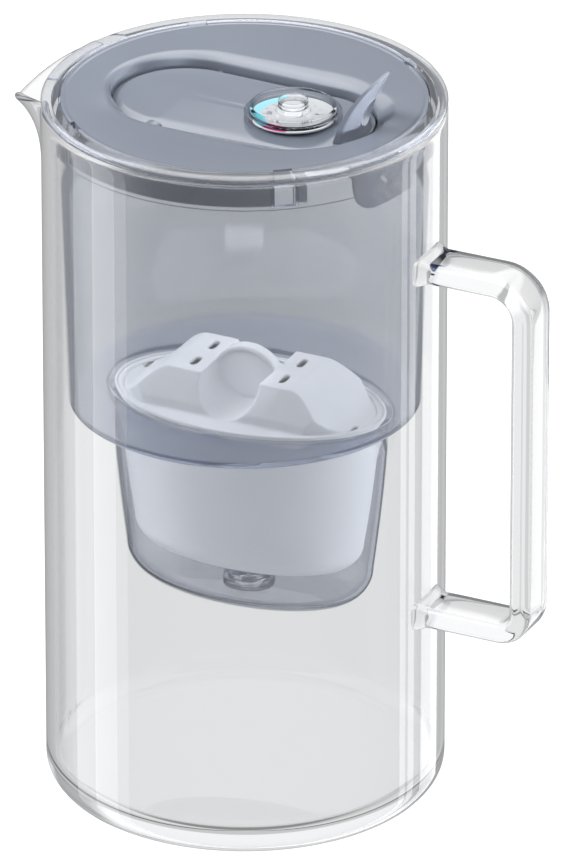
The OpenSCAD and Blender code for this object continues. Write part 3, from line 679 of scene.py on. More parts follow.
rings = round_down
rings += bridge(round_down[-1], oval(50.4, 33.5, 138.0), 6) + [oval(50.4, 33.5, 138.0)] + well_out
rings += bridge(well_out[-1], outlet_rings[0], 4) + outlet_rings
rings += bridge(outlet_rings[1], well_in[0], 4) + well_in
rings += bridge(well_in[-1], round_up[0], 6) + round_up
hopper = stack("hopper_shell", rings, tyre=True, sharp=40)
print("hopper:", len(rings), "rings")

# %% Clip fingers: grooves in the collar and the slits beside each finger
CLIPS = [math.radians(180 + a) for a in (49, 128, -49, -128)]


def cutters(boxes):
    """One cutter object made of several boxes, repeated at each clip."""
    parts = [block("cutter", *place, size, angle) for place, size in boxes for angle in CLIPS]
    return join("cutter", parts)


groove = ((59.375, 0, 240.1), (2.95, 6.3, 13.8))
slits = [((62.0, side * 3.9, 237.6), (2.2, 0.9, 8.8)) for side in (-1, 1)]
cut(hopper, cutters([groove] + slits), sharp=40)
print("clips cut at", [round(math.degrees(a)) for a in CLIPS])

# %% Low pad over the spout, and the outlet's grille, repeated by Geometry Nodes
pad_inner, pad_outer = [], []
for k in range(13):
    a = math.pi + math.radians(-15 + 2.5 * k)
    pad_inner.append((61.2 * math.cos(a), 61.2 * math.sin(a)))
    pad_outer.append((65.1 * math.cos(a), 65.1 * math.sin(a)))
outline = pad_outer + pad_inner[::-1]
count = len(outline)
points = [(x, y, z) for z in (244.6, 245.3) for x, y in outline]
points += [(x * 0.998, y * 0.998, 245.4) for x, y in outline]
faces = []
for low in (0, count):
    for i in range(count):
        j = (i + 1) % count
        faces.append((i + low, j + low, j + low + count, i + low + count))
for base in (0, 2 * count):
    faces += [(base + i, base + i + 1, base + count - 2 - i, base + count - 1 - i) for i in range(12)]
pad = mesh_from("spout_pad", points, faces)

spokes = ring_of_copies(
    "outlet_spokes",
    lambda gn, size: gn.add("GeometryNodeMeshCube", None, {"Size": (7.0 * MM, 1.1 * MM, 1.3 * MM)}),
    {"Count": 6, "Reach": 3.6 * MM, "Height": 70.9 * MM, "Middle": WELL_X * MM, "Finish": smoky_plastic},
)
collar_profile = [(6.9, 69.6), (8.2, 69.6), (8.5, 69.9), (8.5, 73.2), (8.2, 73.5), (6.9, 73.5)]
collar = lathe("outlet_collar", collar_profile, WELL_X, tyre=True, count=96)
hub_profile = [(0.02, 69.9), (2.3, 69.9), (2.5, 70.1), (2.5, 71.7), (2.3, 71.9), (0.02, 71.9)]
hub = lathe("outlet_hub", hub_profile, WELL_X, count=64)
hopper = join("hopper_shell", [hopper, pad, collar, hub, spokes], sharp=40)
one_material(hopper, smoky_plastic)
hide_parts("hopper")
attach(hopper, "hopper")
print("hopper shell:", len(hopper.data.polygons), "faces")

# %% [markdown]
# **The cartridge** is a white cup with a cap. The cap has two humps with vent slots, a
# round channel between them and an arched grip web. Its edges are soft, as moulded edges
# are. A copy of the engineering cap is remeshed into small even cells and then relaxed,
# which rounds each edge by about half a millimetre.

# %% Cartridge cap with soft edges


def soften(node, name, cell, rounds):
    """A copy of a CAD node with rounded edges."""
    mesh = nodes[node].data.copy()
    mesh.materials.clear()
    work = bmesh.new()
    work.from_mesh(mesh)
    bmesh.ops.remove_doubles(work, verts=work.verts, dist=1e-6)
    work.to_mesh(mesh)
    work.free()
    piece = new_object(name, mesh)
    change = piece.modifiers.new("cells", "REMESH")
    change.mode, change.voxel_size = "VOXEL", cell * MM
    change = piece.modifiers.new("relax", "SMOOTH")
    change.factor, change.iterations = 0.5, rounds
    freeze(piece)
    smooth(piece, 60)
    return piece


cap = soften("cartridge_cap", "cartridge_cap_soft", 0.5, 3)
CAP_A, CAP_B, LENGTH_SHARE, WIDTH_SHARE = 48.4, 31.5, 0.978, 0.94
plate_z = 0.0
for vertex in cap.data.vertices:
    x, y, z = (c / MM for c in vertex.co)
    if z < 139.6 and math.hypot((x - WELL_X) / CAP_A, y / CAP_B) > 0.92:
        vertex.co.x = (WELL_X + (x - WELL_X) * LENGTH_SHARE) * MM
        vertex.co.y = y * WIDTH_SHARE * MM
        plate_z = max(plate_z, z)
lip = [(-1.1, -0.6), (-0.9, 0.15), (-0.75, 0.35), (-0.5, 0.42)]
lip += [(-0.25, 0.35), (-0.1, 0.15), (-0.1, -0.6)]
lip_rings = [oval(CAP_A * LENGTH_SHARE + g, CAP_B * WIDTH_SHARE + g, plate_z + rise) for g, rise in lip]
cap = join("cartridge_cap_soft", [cap, stack("cap_lip", lip_rings, tyre=True, sharp=60)], sharp=50)
print("the cap's plate lies at", round(plate_z, 2))
one_material(cap, cap_white_in_painted_shade)
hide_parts("cartridge_cap")
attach(cap, "cartridge")
print("cap:", len(cap.data.polygons), "faces")

# %% Cartridge cup with its drain holes
CUP_A, CUP_B, CUP_Z, CUP_TOP = 45.3, 28.4, 82.7, 136.7
outer = vessel(CUP_A, CUP_B, CUP_Z, CUP_TOP - 0.3, 5.0, 9.0)
inner = vessel(CUP_A - 1.5, CUP_B - 1.5, CUP_Z + 1.5, CUP_TOP - 0.3, 5.0, 7.5)
lip = [oval(CUP_A - 0.3, CUP_B - 0.3, CUP_TOP), oval(CUP_A - 1.2, CUP_B - 1.2, CUP_TOP)]
start = [between(outer[0], [(WELL_X, 0, CUP_Z)] * RING, 0.98 - 0.245 * k) for k in range(4)]
end = [between(inner[0], [(WELL_X, 0, CUP_Z + 1.5)] * RING, 0.245 * (k + 1)) for k in range(4)]
cup = stack("cartridge_cup_smooth", start + outer + lip + inner[::-1] + end, sharp=40)

drain_cutter = ring_of_copies(
    "drains",
    lambda gn, size: gn.add(
        "GeometryNodeMeshCylinder", None,
        {"Vertices": 24, "Radius": size["Drain Radius"], "Depth": 5.0 * MM},
    ),
    {
        "Count": 8, "Reach": 9 * MM, "Drain Radius": 2 * MM,
        "Height": (CUP_Z + 0.75) * MM, "Middle": WELL_X * MM,
    },
    outward=False, one_in_middle=True,
)
cut(cup, drain_cutter, sharp=40)
one_material(cup, white_plastic)
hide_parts("cartridge_cup")
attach(cup, "cartridge")
print("cup:", len(cup.data.polygons), "faces")

# %% Granules and screens inside the cartridge
granules, tree = new_material("carbon and resin granules")
spot = tree.place()
grains = tree.add("ShaderNodeTexVoronoi", None, {"Vector": spot, "Scale": 900.0})
kind = tree.split(tree.add("ShaderNodeTexVoronoi", None, {"Vector": spot, "Scale": 900.0}, "Color"))[0]
pick = kind.rise(0.55, 0.6)
grain_colour = tree.mix((0.03, 0.028, 0.027), (0.55, 0.42, 0.2), pick)
body = tree.add(
    "ShaderNodeBsdfPrincipled", None,
    {"Base Color": grain_colour, "Roughness": 0.75 - pick * 0.3, "Normal": tree.bump(-grains, 0.0006)},
)
surface(tree, body)
screen, tree = new_material("woven screen")
sx, sy, sz = tree.split(tree.place((5200.0, 5200.0, 1.0)))
weave = (sx.math("SINE") * sy.math("SINE")).math("ABSOLUTE")
body = tree.add(
    "ShaderNodeBsdfPrincipled", None,
    {
        "Base Color": tree.mix((0.62, 0.63, 0.65), (0.25, 0.26, 0.28), weave.rise(0.2, 0.8)),
        "Roughness": 0.5 + weave * 0.2,
        "Normal": tree.bump(weave, 0.0001),
    },
)
surface(tree, body)
for node, finish_of in (("filter_media", granules), ("inlet_screen", screen), ("outlet_screen", screen)):
    nodes[node].data.materials.clear()
    nodes[node].data.materials.append(finish_of)
print("inside of the cartridge is finished")

# %% [markdown]
# **The lid** is one satin moulding. Its deck dishes a little toward a long recess with two
# round ends, and a soft shoulder rolls over into the recess. The flap lies in there on a
# narrow ledge. The outline of flap and recess is an egg: two circles and their tangents.

# %% Lid rings
LID_R, LID_Z, DECK_Z = 59.7, 244.5, 244.3
RECESS_X1, RECESS_R1, RECESS_X2, RECESS_R2, GAP = 21.3, 23.7, 22.5, 22.1, 0.7
SHOULDER_Z, LEDGE_Z, LID_LOW_Z = 241.8, 237.4, 235.6
HINGE_X, HINGE_Z = 20.5, 238.4
FRONT_X, FRONT_Y = 0.438, -0.899
SKIRT_OUT, SKIRT_IN, SKIRT_TOP = 58.55, 56.95, 241.8
TONGUE_Z, TONGUE_CORNER, TONGUE_HALF = 224.0, 9.0, 27.0
SLOT_Y, SLOT_Z = -13.75, 233.1


def egg(x1, r1, x2, r2, z):
    """Two round ends and their tangents, as a ring. z is a number or a function of x and y."""
    ring = []
    for i in range(RING):
        c, s = math.cos(turn(i)), math.sin(turn(i))
        near = x2 * c + r2 > -x1 * c + r1
        x, y = (x2 + r2 * c, r2 * s) if near else (-x1 + r1 * c, r1 * s)
        ring.append((x, y, z(x, y) if callable(z) else z))
    return ring


def flap_egg(grow, z):
    return egg(RECESS_X1, RECESS_R1 + grow, RECESS_X2, RECESS_R2 + grow, z)


def shoulder_egg(share):
    """The recess outline at share 0, and the outer edge of its shoulder at share 1."""
    return egg(
        RECESS_X1 - share * 2.8, RECESS_R1 + GAP + share * 5.1,
        RECESS_X2 - share * 4.0, RECESS_R2 + GAP + share * 8.2, 0.0,
    )


def toward_front(x, y):
    """How far a point lies ahead of the middle, seen from 26 degrees right of the front."""
    return FRONT_X * x + FRONT_Y * y


def near_side(x, y):
    """0 on the far side of the recess and 1 on the near side, where the deck lies lower."""
    return soft_step(limited((toward_front(x, y) + 4.0) / 16.0))


def deck(x, y):
    """Height of the dished deck."""
    share = limited((math.hypot(x, y) - 30.0) / 26.5)
    return DECK_Z + (LID_Z - DECK_Z) * share - 1.5 * near_side(x, y) * (1 - share) ** 1.7


def shoulder_foot(x, y):
    return SHOULDER_Z - 1.9 * near_side(x, y)


def shaped(ring, drop=0.0):
    """A ring laid on the deck."""
    return [(x, y, deck(x, y) - drop) for x, y, _ in ring]


rings = [circle(LID_R, LID_Z - 0.9), circle(LID_R, LID_Z - 0.3), circle(LID_R - 0.1, LID_Z - 0.1)]
rings += [circle(LID_R - 0.35, LID_Z), circle(LID_R - 1.3, LID_Z), circle(LID_R - 1.5, LID_Z - 0.12)]


def wide_shoulder(share):
    """The shoulder's outline at a share of its width. It is wider on the near side."""
    wide = shoulder_egg(share * 1.25)
    return [
        tuple(p + (q - p) * near_side(*point[:2]) for p, q in zip(point, other))
        for point, other in zip(shoulder_egg(share), wide)
    ]


rim_ring, outer_shoulder = circle(LID_R - 1.8, LID_Z - 0.12), wide_shoulder(1.0)
for k in range(13):
    rings.append(shaped(between(rim_ring, outer_shoulder, k / 12), 0.12 * (1 - k / 12)))
for k in range(1, 19):
    angle = math.pi / 2 * k / 18
    across, round_fall = math.sin(angle), 1 - math.cos(angle)
    ring = []
    for x, y, _ in wide_shoulder(1 - across):
        fall = round_fall + (across**1.15 - round_fall) * near_side(x, y)
        ring.append((x, y, deck(x, y) - (deck(x, y) - shoulder_foot(x, y)) * fall))
    rings.append(ring)
for step in (0.5, 1.4):
    rings.append(flap_egg(GAP, lambda x, y: shoulder_foot(x, y) - step))
rings.append(flap_egg(GAP, LEDGE_Z + 0.2))


def ledge(z, wide):
    """The ledge's inner edge. On the spout side of the hinge there is none."""
    ring = []
    for (x, y, _), (u, v, _) in zip(flap_egg(GAP - 0.02, z), flap_egg(GAP - wide, z)):
        share = limited((x + 14.0) / 2.0)
        ring.append((x + (u - x) * share, y + (v - y) * share, z))
    return ring


rings += [ledge(LEDGE_Z, 0.3), ledge(LEDGE_Z, 2.3), ledge(LEDGE_Z - 0.2, 2.5)]
rings += [ledge(LID_LOW_Z + 0.2, 2.5)]
rings += [ledge(LID_LOW_Z, 2.3), flap_egg(GAP + 0.3, LID_LOW_Z), flap_egg(GAP + 1.8, LID_LOW_Z)]
rings += [flap_egg(GAP + 2.0, LID_LOW_Z + 0.2)]
rings += [flap_egg(GAP + 2.0, lambda x, y: 239.2 - 1.2 * near_side(x, y))]
rings += [flap_egg(GAP + 2.4, lambda x, y: 240.6 - 2.2 * near_side(x, y))]
under, inner = flap_egg(GAP + 3.4, lambda x, y: 241.3 - 2.6 * near_side(x, y)), circle(57.0, 241.6)
rings += [between(under, inner, k / 5) for k in range(6)]
rings += [circle(58.55, 241.6), circle(58.55, 243.4), circle(58.7, 243.5), circle(LID_R - 0.2, 243.5)]
lid = stack("lid_shell_satin", rings, tyre=True, sharp=32)
print("lid rings:", len(rings))

# %% Skirt, tongue and lugs under the lid


def curved_wall(name, r_out, r_in, low, high, start, end, steps):
    """A wall that follows a circle from one bearing to another. low is a number or a
    function of the share along the wall."""
    rings = []
    for k in range(steps + 1):
        share = k / steps
        a = math.radians(start + (end - start) * share)
        foot = low(share) if callable(low) else low
        middle = (r_out + r_in) / 2
        section = [(r_in, high), (r_in, foot + 0.5), (middle - 0.3, foot)]
        section += [(middle + 0.3, foot), (r_out, foot + 0.5), (r_out, high)]
        rings.append([(r * math.cos(a), r * math.sin(a), z) for r, z in section])
    return stack(name, rings, sharp=40)


def hinge_pair(name, profile, start, outward, count):
    """Two short round pieces on the hinge's axis. Each starts that far from the middle and
    grows outward if outward is 1, or inward if it is -1."""
    pair = []
    for side in (-1, 1):
        piece = lathe(name, profile, count=count)
        for vertex in piece.data.vertices:
            x, y, z = vertex.co
            vertex.co = (x - HINGE_X * MM, side * (start * MM + outward * z), y + HINGE_Z * MM)
        if side == outward:
            piece.data.flip_normals()
        pair.append(piece)
    return pair


def tongue_foot(share):
    """Height of the tongue's lower edge, which has rounded corners."""
    width = 2 * 57.25 * math.radians(TONGUE_HALF)
    side = min(share, 1 - share) * width
    if side >= TONGUE_CORNER:
        return TONGUE_Z
    inward = TONGUE_CORNER - side
    return TONGUE_Z + TONGUE_CORNER - math.sqrt(max(0.0, TONGUE_CORNER**2 - inward**2))


skirt = curved_wall("skirt", SKIRT_OUT, SKIRT_IN, 232.6, SKIRT_TOP, 54.8, 305.2, 160)
skirt_ends = [
    curved_wall("skirt_end", SKIRT_OUT, SKIRT_IN, 233.0, SKIRT_TOP, a, a + 3.2, 4) for a in (-47.6, 44.4)
]
short_skirt = curved_wall("short_skirt", SKIRT_OUT, SKIRT_IN, 240.2, SKIRT_TOP, -45.0, 45.0, 60)
tongue = curved_wall("tongue", 57.25, 55.65, tongue_foot, SKIRT_TOP, -TONGUE_HALF, TONGUE_HALF, 72)
slot = block("slot", 56.5, 0, SLOT_Z, (8, 5.6, 2.0))
slant = math.radians(-45)
for vertex in slot.data.vertices:
    y, z = vertex.co.y, vertex.co.z - SLOT_Z * MM
    vertex.co.y = y * math.cos(slant) - z * math.sin(slant) + SLOT_Y * MM
    vertex.co.z = y * math.sin(slant) + z * math.cos(slant) + SLOT_Z * MM
cut(tongue, slot)
lugs = [block("lug", 58.97, 0, 240.4, (2.35, 5.6, 1.6), a) for a in CLIPS]
boss = [(0.01, 0.0), (3.4, 0.0), (3.6, 0.2), (3.6, 4.0), (3.4, 4.2), (0.01, 4.2)]
bosses = hinge_pair("boss", boss, 24.4, 1, 48)
notches = join("notches", [block("notch", 60.0, 0, 244.4, (3.6, 6.3, 6.0), a) for a in CLIPS])
cut(lid, notches, sharp=32)
lid = join("lid_shell_satin", [lid, skirt, short_skirt, tongue] + skirt_ends + lugs + bosses, sharp=32)
one_material(lid, lid_plastic)
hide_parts("lid_shell")
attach(lid, "lid")
print("lid:", len(lid.data.polygons), "faces")

# %% [markdown]
# **The flap** fills the recess but for a thin gap. From its middle the top falls very
# softly toward the front, so it catches the light there. At the handle end stands a petal
# for the finger, a leaf that leans outward and has an eye through its foot.

# %% Flap with its soft border
EDGE_Z, FLAP_Z, FLAP_LOW_Z, BORDER = 239.9, 240.8, 237.7, 2.8


def flap_top(x, y):
    """Height of the flap's top. It starts to fall 8 mm in front of the middle."""
    ahead = max(0.0, toward_front(x, y) - 8.0)
    return FLAP_Z - 0.08 * ahead * ahead / (ahead + 1.5)


def flap_edge(x, y, drop=0.0):
    """Height of the flap's sharp edge, always below its top."""
    return min(EDGE_Z, flap_top(x, y) - 0.35) - drop


def flap_ring(inset, rise=1.0):
    ring = flap_egg(-inset, 0.0)
    return [(x, y, flap_edge(x, y) * (1 - rise) + flap_top(x, y) * rise) for x, y, _ in ring]


bottom = [flap_egg(grow, FLAP_LOW_Z) for grow in (-20.0, -10.0, -0.5)]
bottom += [flap_egg(-0.15, FLAP_LOW_Z + 0.15), flap_egg(0.0, FLAP_LOW_Z + 0.5)]
for grow, drop in ((0.0, 0.4), (-0.1, 0.12), (-0.4, 0.0)):
    bottom.append(flap_egg(grow, lambda x, y: flap_edge(x, y, drop)))
top = []
for k in range(1, 13):
    share = k / 12
    rise = soft_step(share) * 0.35 + (1 - (1 - share) ** 1.6) * 0.65
    top.append(flap_ring(0.4 + (BORDER - 0.4) * share, rise))
top += [flap_ring(BORDER + 1.2 * k) for k in range(1, 17)]
flap = stack("flap_plate", bottom + top, sharp=40)
pin = [(0.01, 0.0), (1.2, 0.0), (1.4, 0.2), (1.4, 3.9), (1.2, 4.1), (0.01, 4.1)]
pins = hinge_pair("pin", pin, 25.8, -1, 32)
print("flap plate:", len(flap.data.polygons), "faces")

# %% The finger petal
PETAL_X, PETAL_H, PETAL_LEAN, PETAL_W, PETAL_CURL, PETAL_T = 42.3, 22.5, 9.4, 10.8, 4.2, 1.7


def petal_point(s, t, side):
    """s runs from foot to tip, t from side to side, side is -1 inside and 1 outside."""
    half = PETAL_W * (1 - 0.3 * s) * max(0.0, 1 - s**4) ** 0.6 + 0.5 * s
    y = t * half
    curl = PETAL_CURL * (y / PETAL_W) ** 2
    foot = 1.6 * max(0.0, 1 - s / 0.16) ** 2
    back = max(0.0, (abs(t) - 0.72) / 0.28)
    thick = PETAL_T * (1 - 0.4 * s) + foot + (0.7 - 0.6 * s) * back * back * (3 - 2 * back)
    return (
        PETAL_X + PETAL_LEAN * s**1.6 - curl + side * thick / 2 + foot * 0.3,
        y, FLAP_Z - 1.2 + (PETAL_H + 1.2) * s,
    )


def petal_ring(s, cols=40):
    across = [0.98 * (-1 + 2 * k / cols) for k in range(cols + 1)]
    edge = (0.86, 0.5, 0.0, -0.5, -0.86)
    ring = [petal_point(s, t, 1) for t in across] + [petal_point(s, 1, c) for c in edge]
    return ring + [petal_point(s, -t, -1) for t in across] + [petal_point(s, -1, -c) for c in edge]


steps = [0, 0.02, 0.04, 0.07, 0.1, 0.14] + [0.18 + 0.82 * (1 - (1 - k / 28) ** 1.4) for k in range(29)]
petal = stack("petal", [petal_ring(s) for s in steps], sharp=45)
eye_ring = []
for i in range(64):
    a = turn(i, 64)
    eye_ring.append((3.4 * math.cos(a), 3.2 * math.sin(a) + (1.6 if math.sin(a) > 0 else -1.6)))
eye = stack("eye", [[(x, y, 247.6 + z) for y, z in eye_ring] for x in (36.0, 52.0)])
cut(petal, eye, sharp=45)
flap = join("flap_plate", [flap, petal] + pins, sharp=45)
one_material(flap, lid_plastic)
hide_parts("flap")
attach(flap, "flap")
print("flap with petal:", len(flap.data.polygons), "faces")

# %% [markdown]
# **The reminder dial** sits on the flap. A printed disc lies under a clear dish that turns
# by its spool-shaped knob, inside a fixed clear ring. The print is paint on the disc: a
# coloured band that runs part of the way round, ticks and plain numbers.

# %% Printed disc
DIAL_X, DISC_R, PRINT_Z = 17.5, 14.0, 241.42
printed, tree = new_material("printed disc")
px, py, pz = tree.split(tree.place(shift=(-DIAL_X * MM, 0.0, 0.0)))
radius = (px * px + py * py) ** 0.5 * 1000.0
angle = py.math("ARCTAN2", px) * (180 / math.pi)


def ring_mask(low, high):
    return radius.rise(low - 0.06, low + 0.06) * (1.0 - radius.rise(high - 0.06, high + 0.06))


def sweep(start, end):
    """1 between two bearings in degrees, which may cross the half turn."""
    turned = (angle - start) / 360.0
    share = (turned - turned.math("FLOOR")) * 360.0
    return 1.0 - share.rise(end - start - 0.4, end - start + 0.4)


pale_blue, cyan, magenta = (0.36, 0.72, 0.80), (0.10, 0.56, 0.66), (0.50, 0.008, 0.18)
colour = tree.mix((0.62, 0.63, 0.64), pale_blue, ring_mask(10.4, 13.8) * sweep(125.0, 213.0))
colour = tree.mix(colour, cyan, ring_mask(10.4, 13.8) * sweep(208.0, 250.0))
colour = tree.mix(colour, magenta, ring_mask(10.9, 13.9) * sweep(250.0, 286.0))
paint = tree.noise(tree.place(), 1800.0)
body = tree.add(
    "ShaderNodeBsdfPrincipled", None,
    {"Base Color": colour, "Roughness": 0.4 + paint * 0.1, "Normal": tree.bump(paint, 0.000004)},
)
surface(tree, body)
disc = lathe(
    "printed_dial_disc",
    [(2.9, 240.8), (DISC_R - 0.1, 240.8), (DISC_R, 240.9), (DISC_R, 241.3)]
    + [(DISC_R - 0.1, 241.4), (2.9, 241.4)],
    DIAL_X, tyre=True,
)
one_material(disc, printed)
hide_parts("dial_disc")
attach(disc, "flap")
print("disc:", len(disc.data.polygons), "faces")

# %% Ticks by Geometry Nodes, and plain numbers
ink, tree = new_material("grey ink")
blot = tree.noise(tree.place(), 2500.0)
body = tree.add(
    "ShaderNodeBsdfPrincipled", None,
    {
        "Base Color": tree.mix((0.07, 0.075, 0.09), (0.10, 0.105, 0.12), blot),
        "Roughness": 0.5 + blot * 0.1,
    },
)
surface(tree, body)
marks = ring_of_copies(
    "dial_ticks",
    lambda gn, size: gn.add("GeometryNodeMeshCube", None, {"Size": (1.1 * MM, 0.16 * MM, 0.03 * MM)}),
    {"Count": 16, "Reach": 9.4 * MM, "Height": PRINT_Z * MM, "Middle": DIAL_X * MM, "Finish": ink},
)


def number(text, r, bearing, height=2.6):
    """A flat number on the disc whose foot points to the middle."""
    curve = bpy.data.curves.new("number", "FONT")
    curve.body, curve.size, curve.align_x, curve.align_y = text, height * MM, "CENTER", "CENTER"
    curve.extrude, curve.resolution_u = 0.015 * MM, 3
    thing = bpy.data.objects.new("number", curve)
    bpy.context.scene.collection.objects.link(thing)
    bpy.context.view_layer.update()
    graph = bpy.context.evaluated_depsgraph_get()
    mesh = bpy.data.meshes.new_from_object(thing.evaluated_get(graph))
    bpy.data.objects.remove(thing)
    a = math.radians(bearing)
    c, s = math.cos(a - math.pi / 2), math.sin(a - math.pi / 2)
    for vertex in mesh.vertices:
        x, y, z = vertex.co
        vertex.co = (
            DIAL_X * MM + r * MM * math.cos(a) + x * c - y * s,
            r * MM * math.sin(a) + x * s + y * c, z + PRINT_Z * MM,
        )
    return new_object("number", mesh)


figures = (("0", 90), ("25", 150), ("50", 200), ("75", 255), ("100", 330), ("4", 25))
numbers = [number(text, 7.6, bearing) for text, bearing in figures]
marks = join("dial_print", [marks] + numbers)
one_material(marks, ink)
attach(marks, "flap")
print("print:", len(marks.data.polygons), "faces")

# %% Clear ring and turning dish
knob_plastic = see_through(
    "clear knob plastic", (0.96, 0.965, 0.97), (0.03, 0.035, 0.05), 2.4, 1.06, (0.97, 0.975, 0.98),
    (90.0, 0.00001), 1.0, 0.0, 0.25, (0.2, 0.22, 0.26),
)
bezel = lathe(
    "dial_ring_clear",
    [(14.5, 239.3), (15.8, 239.3), (16.0, 239.5), (16.0, 242.4)]
    + arc(15.3, 242.6, 0.7, 0, 90, 8)
    + [(14.9, 243.3), (14.6, 243.2), (14.5, 243.0)],
    DIAL_X, tyre=True,
)
one_material(bezel, dial_plastic)
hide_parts("dial_bezel")
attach(bezel, "flap")
dish = [(0.02, 241.75), (13.9, 241.75), (14.15, 241.85), (14.2, 242.1), (14.2, 244.7)]
dish += arc(13.7, 244.6, 0.5, 0, 180, 8) + [(13.2, 243.2), (12.9, 242.8), (12.4, 242.7)]
dish += [(6.2, 242.7), (5.8, 242.8), (5.65, 243.0), (5.6, 243.3), (5.3, 243.6)]
dish += [(4.4, 243.8), (3.95, 244.0)]
dish += [(3.9, 244.2), (4.2, 244.35), (4.8, 244.45), (4.9, 244.6), (4.9, 244.9), (4.8, 245.05), (4.2, 245.15)]
dish += [(3.95, 245.3), (3.95, 245.5), (4.3, 245.65), (4.75, 245.75), (4.9, 245.95), (4.9, 246.45)]
dish += arc(4.55, 246.45, 0.35, 0, 90, 6) + [(4.1, 246.78), (3.9, 246.6), (2.5, 246.5), (0.02, 246.5)]
knob = lathe("dial_dish_clear", dish, DIAL_X)
one_material(knob, knob_plastic)
spindle = lathe(
    "dial_spindle",
    [(0.02, 236.2), (2.4, 236.2), (3.1, 237.4), (2.4, 237.4), (2.4, 241.3), (2.85, 241.4)]
    + [(2.85, 241.6), (2.7, 241.72), (0.02, 241.72)],
    DIAL_X,
)
one_material(spindle, white_plastic)
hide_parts("dial_knob")
for piece in (knob, spindle):
    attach(piece, "dial")
print("dial:", len(bezel.data.polygons) + len(knob.data.polygons) + len(spindle.data.polygons), "faces")

# %% [markdown]
# **Camera.** The eye stands 26 degrees to the right of the front and looks down at 25.7
# degrees through a very long lens, so upright lines stay nearly parallel.

# %% Camera
AZIMUTH, ELEVATION, DISTANCE, LENS = math.radians(26.0), math.radians(25.666), 4.1828, 531.52
back = Vector(
    (math.sin(AZIMUTH) * math.cos(ELEVATION), -math.cos(AZIMUTH) * math.cos(ELEVATION), math.sin(ELEVATION))
)
right = Vector((math.cos(AZIMUTH), math.sin(AZIMUTH), 0.0))
view = bpy.data.cameras.new("camera")
view.lens, view.sensor_width, view.sensor_fit = LENS, 36.0, "AUTO"
view.clip_start, view.clip_end = 0.5, 50.0
camera = bpy.data.objects.new("camera", view)
bpy.context.scene.collection.objects.link(camera)
camera.location = Vector((0.0, 0.0, 0.12381)) + right * 0.011621 + back * DISTANCE
camera.rotation_euler = (math.pi / 2 - ELEVATION, 0.0, AZIMUTH)
bpy.context.scene.camera = camera
print("camera at", [round(c, 3) for c in camera.location])

# %% [markdown]
# **Light.** A white product picture needs a white ground, and glass needs something darker
# beside it to show its shape. The world gives both. Seen directly it is white. Through
# glass it is pale ahead and greyer behind the camera, with soft grey flags to the sides,
# and in reflections it holds tall strips, as a studio would. The floor keeps the shadow and
# lets glass see that same world.

# %% World
world = bpy.data.worlds.new("studio")
world.use_nodes = True
bpy.context.scene.world = world
world.node_tree.nodes.clear()
sky = Tree(world.node_tree)
dx, dy, dz = sky.split(sky.add("ShaderNodeTexCoord", output="Generated"))
bearing = dy.math("ARCTAN2", dx) * (180 / math.pi)
FORWARD = 90.0 + math.degrees(AZIMUTH)
RAYS = ("Is Camera Ray", "Is Glossy Ray", "Is Transmission Ray")


def away(target):
    """Degrees between the direction looked at and a bearing, from 0 to 180."""
    turned = (bearing - target).math("ABSOLUTE")
    return turned.least(360.0 - turned)


def band(target, half, soft):
    """1 within half of a bearing, falling to 0 over soft degrees."""
    return 1.0 - away(target).rise(half, half + soft)


def beside(offset, half, soft):
    """A band that many degrees to the left of the direction the camera looks in."""
    target = FORWARD + offset
    return band(target - 360.0 * (target > 180.0), half, soft)


low = 1.0 - dz.rise(-0.1, 0.1)
level = dz.rise(-0.85, -0.6)
behind = away(FORWARD).rise(88.0, 125.0)
flags = beside(32.0, 6.0, 8.0) + beside(-26.0, 5.0, 6.0)
slots = beside(77.0, 14.0, 3.0) * 1.3 + beside(-70.0, 12.0, 3.0) * 0.4
through = 0.84 - (behind * 0.22 + flags * 0.3 - slots * low) * level - dz.rise(0.1, 0.5) * 0.15
left = beside(75.0, 8.0, 2.0) * 1.4 + beside(92.0, 8.0, 1.0) * 2.9 + beside(104.5, 4.0, 1.0) * 1.3
right_hand = beside(-46.0, 11.0, 1.5) * 2.6 + beside(-68.6, 2.6, 0.8) * 2.2
strips = right_hand + beside(-76.7, 2.2, 0.8) * 2.2 + left
inside = 0.62 + dz.rise(-0.5, 0.3) * 0.42 - behind * 0.35 - flags * 0.5 + strips * 0.08
mirrored = 0.3 + strips * low + dz.rise(0.47, 0.54) * 2.9 + dz.rise(0.65, 0.85) * 2.6
paths = sky.add("ShaderNodeLightPath").socket.node.outputs
sees, shines, passes = (Value(sky, paths[name]) for name in RAYS)
depth = Value(sky, paths["Transmission Depth"]).least(1.0)
reflects = (shines - passes).most(0.0)
plain = 1.0 - (sees + reflects + passes).least(1.0)
reflected = mirrored * (1.0 - depth) + inside * depth
overhead = 0.4 + dz.rise(0.0, 0.8) * 0.6
strength = sees + passes * through + reflects * reflected + plain * overhead
glow = sky.add("ShaderNodeBackground", None, {"Color": (1.0, 1.0, 1.0, 1.0), "Strength": strength})
ground = sky.tree.nodes.new("ShaderNodeOutputWorld")
sky.tree.links.new(glow.socket, ground.inputs["Surface"])
print("the world looks forward along bearing", round(FORWARD, 1))

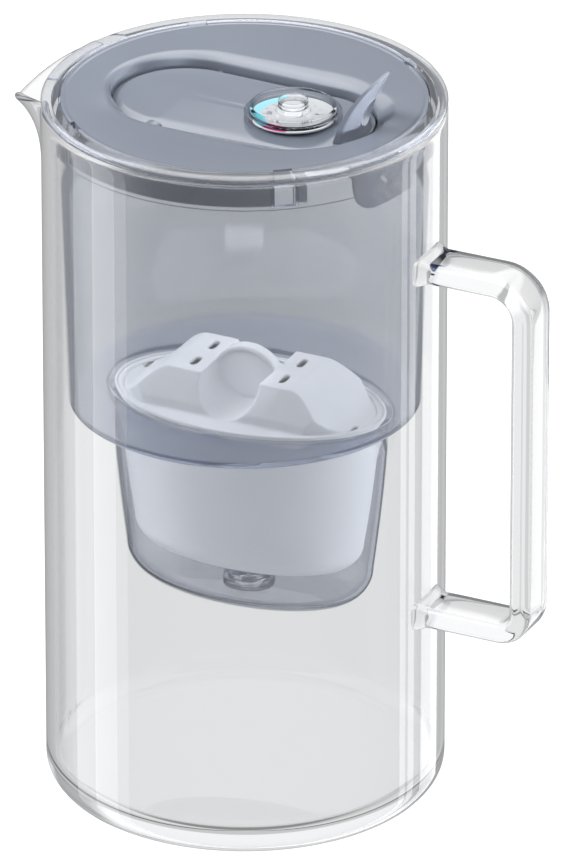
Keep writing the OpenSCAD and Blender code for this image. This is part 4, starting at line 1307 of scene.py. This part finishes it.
# %% Floor and lamps
floor_material, tree = new_material("pale floor")
paper = tree.add("ShaderNodeBsdfDiffuse", None, {"Color": (0.72, 0.72, 0.72, 1.0)})
white = tree.add("ShaderNodeEmission", None, {"Color": (1.0, 1.0, 1.0, 1.0), "Strength": 1.3})
hole = tree.add("ShaderNodeBsdfTransparent", None, {"Color": (1.0, 1.0, 1.0, 1.0)})
paths = tree.add("ShaderNodeLightPath").socket.node.outputs
sees, shines, passes = (Value(tree, paths[name]) for name in RAYS)
lifted = tree.add("ShaderNodeMixShader", None, {0: sees * 0.6, 1: paper, 2: white})
surface(tree, tree.add("ShaderNodeMixShader", None, {0: shines.most(passes), 1: lifted, 2: hole}))
floor = mesh_from("floor", circle(6000, -0.06, count=96), [tuple(range(96))])
floor.data.materials.append(floor_material)


def lamp(name, place, target, width, height, power, spread=180.0):
    """A soft rectangular lamp that faces the target."""
    light = bpy.data.lights.new(name, "AREA")
    light.shape, light.size, light.size_y, light.energy = "RECTANGLE", width, height, power
    light.spread = math.radians(spread)
    thing = bpy.data.objects.new(name, light)
    bpy.context.scene.collection.objects.link(thing)
    thing.location = place
    thing.rotation_euler = (Vector(target) - Vector(place)).to_track_quat("-Z", "Y").to_euler()
    thing.visible_transmission = False
    thing.visible_glossy = False
    thing.visible_camera = False
    return thing


lamp("key", (-0.36, -0.1, 0.62), (0, 0, 0.2), 0.3, 0.3, 2.6)
lamp("left side", (-1.08, -0.12, 0.55), (0, 0, 0.14), 0.5, 0.9, 11.0)
lamp("right side", (1.05, 0.36, 0.4), (0, 0, 0.16), 0.5, 0.9, 15.0)
lamp("back", (0.2, 1.2, 1.0), (0, 0, 0.15), 1.0, 0.8, 4.0)
lamp("under the lid", (0, 0, 0.233), (0, 0, 0.14), 0.07, 0.05, 0.05)
lamp("leaf", (0.36, -0.08, 0.27), (0.045, 0, 0.254), 0.04, 0.04, 0.025, 16.0)
lamp("channel", (0.022, -0.045, 0.232), (0, 0, 0.148), 0.012, 0.03, 0.004, 13.0)
bpy.context.scene.view_settings.view_transform = "Standard"
print("the floor and seven lamps are set")
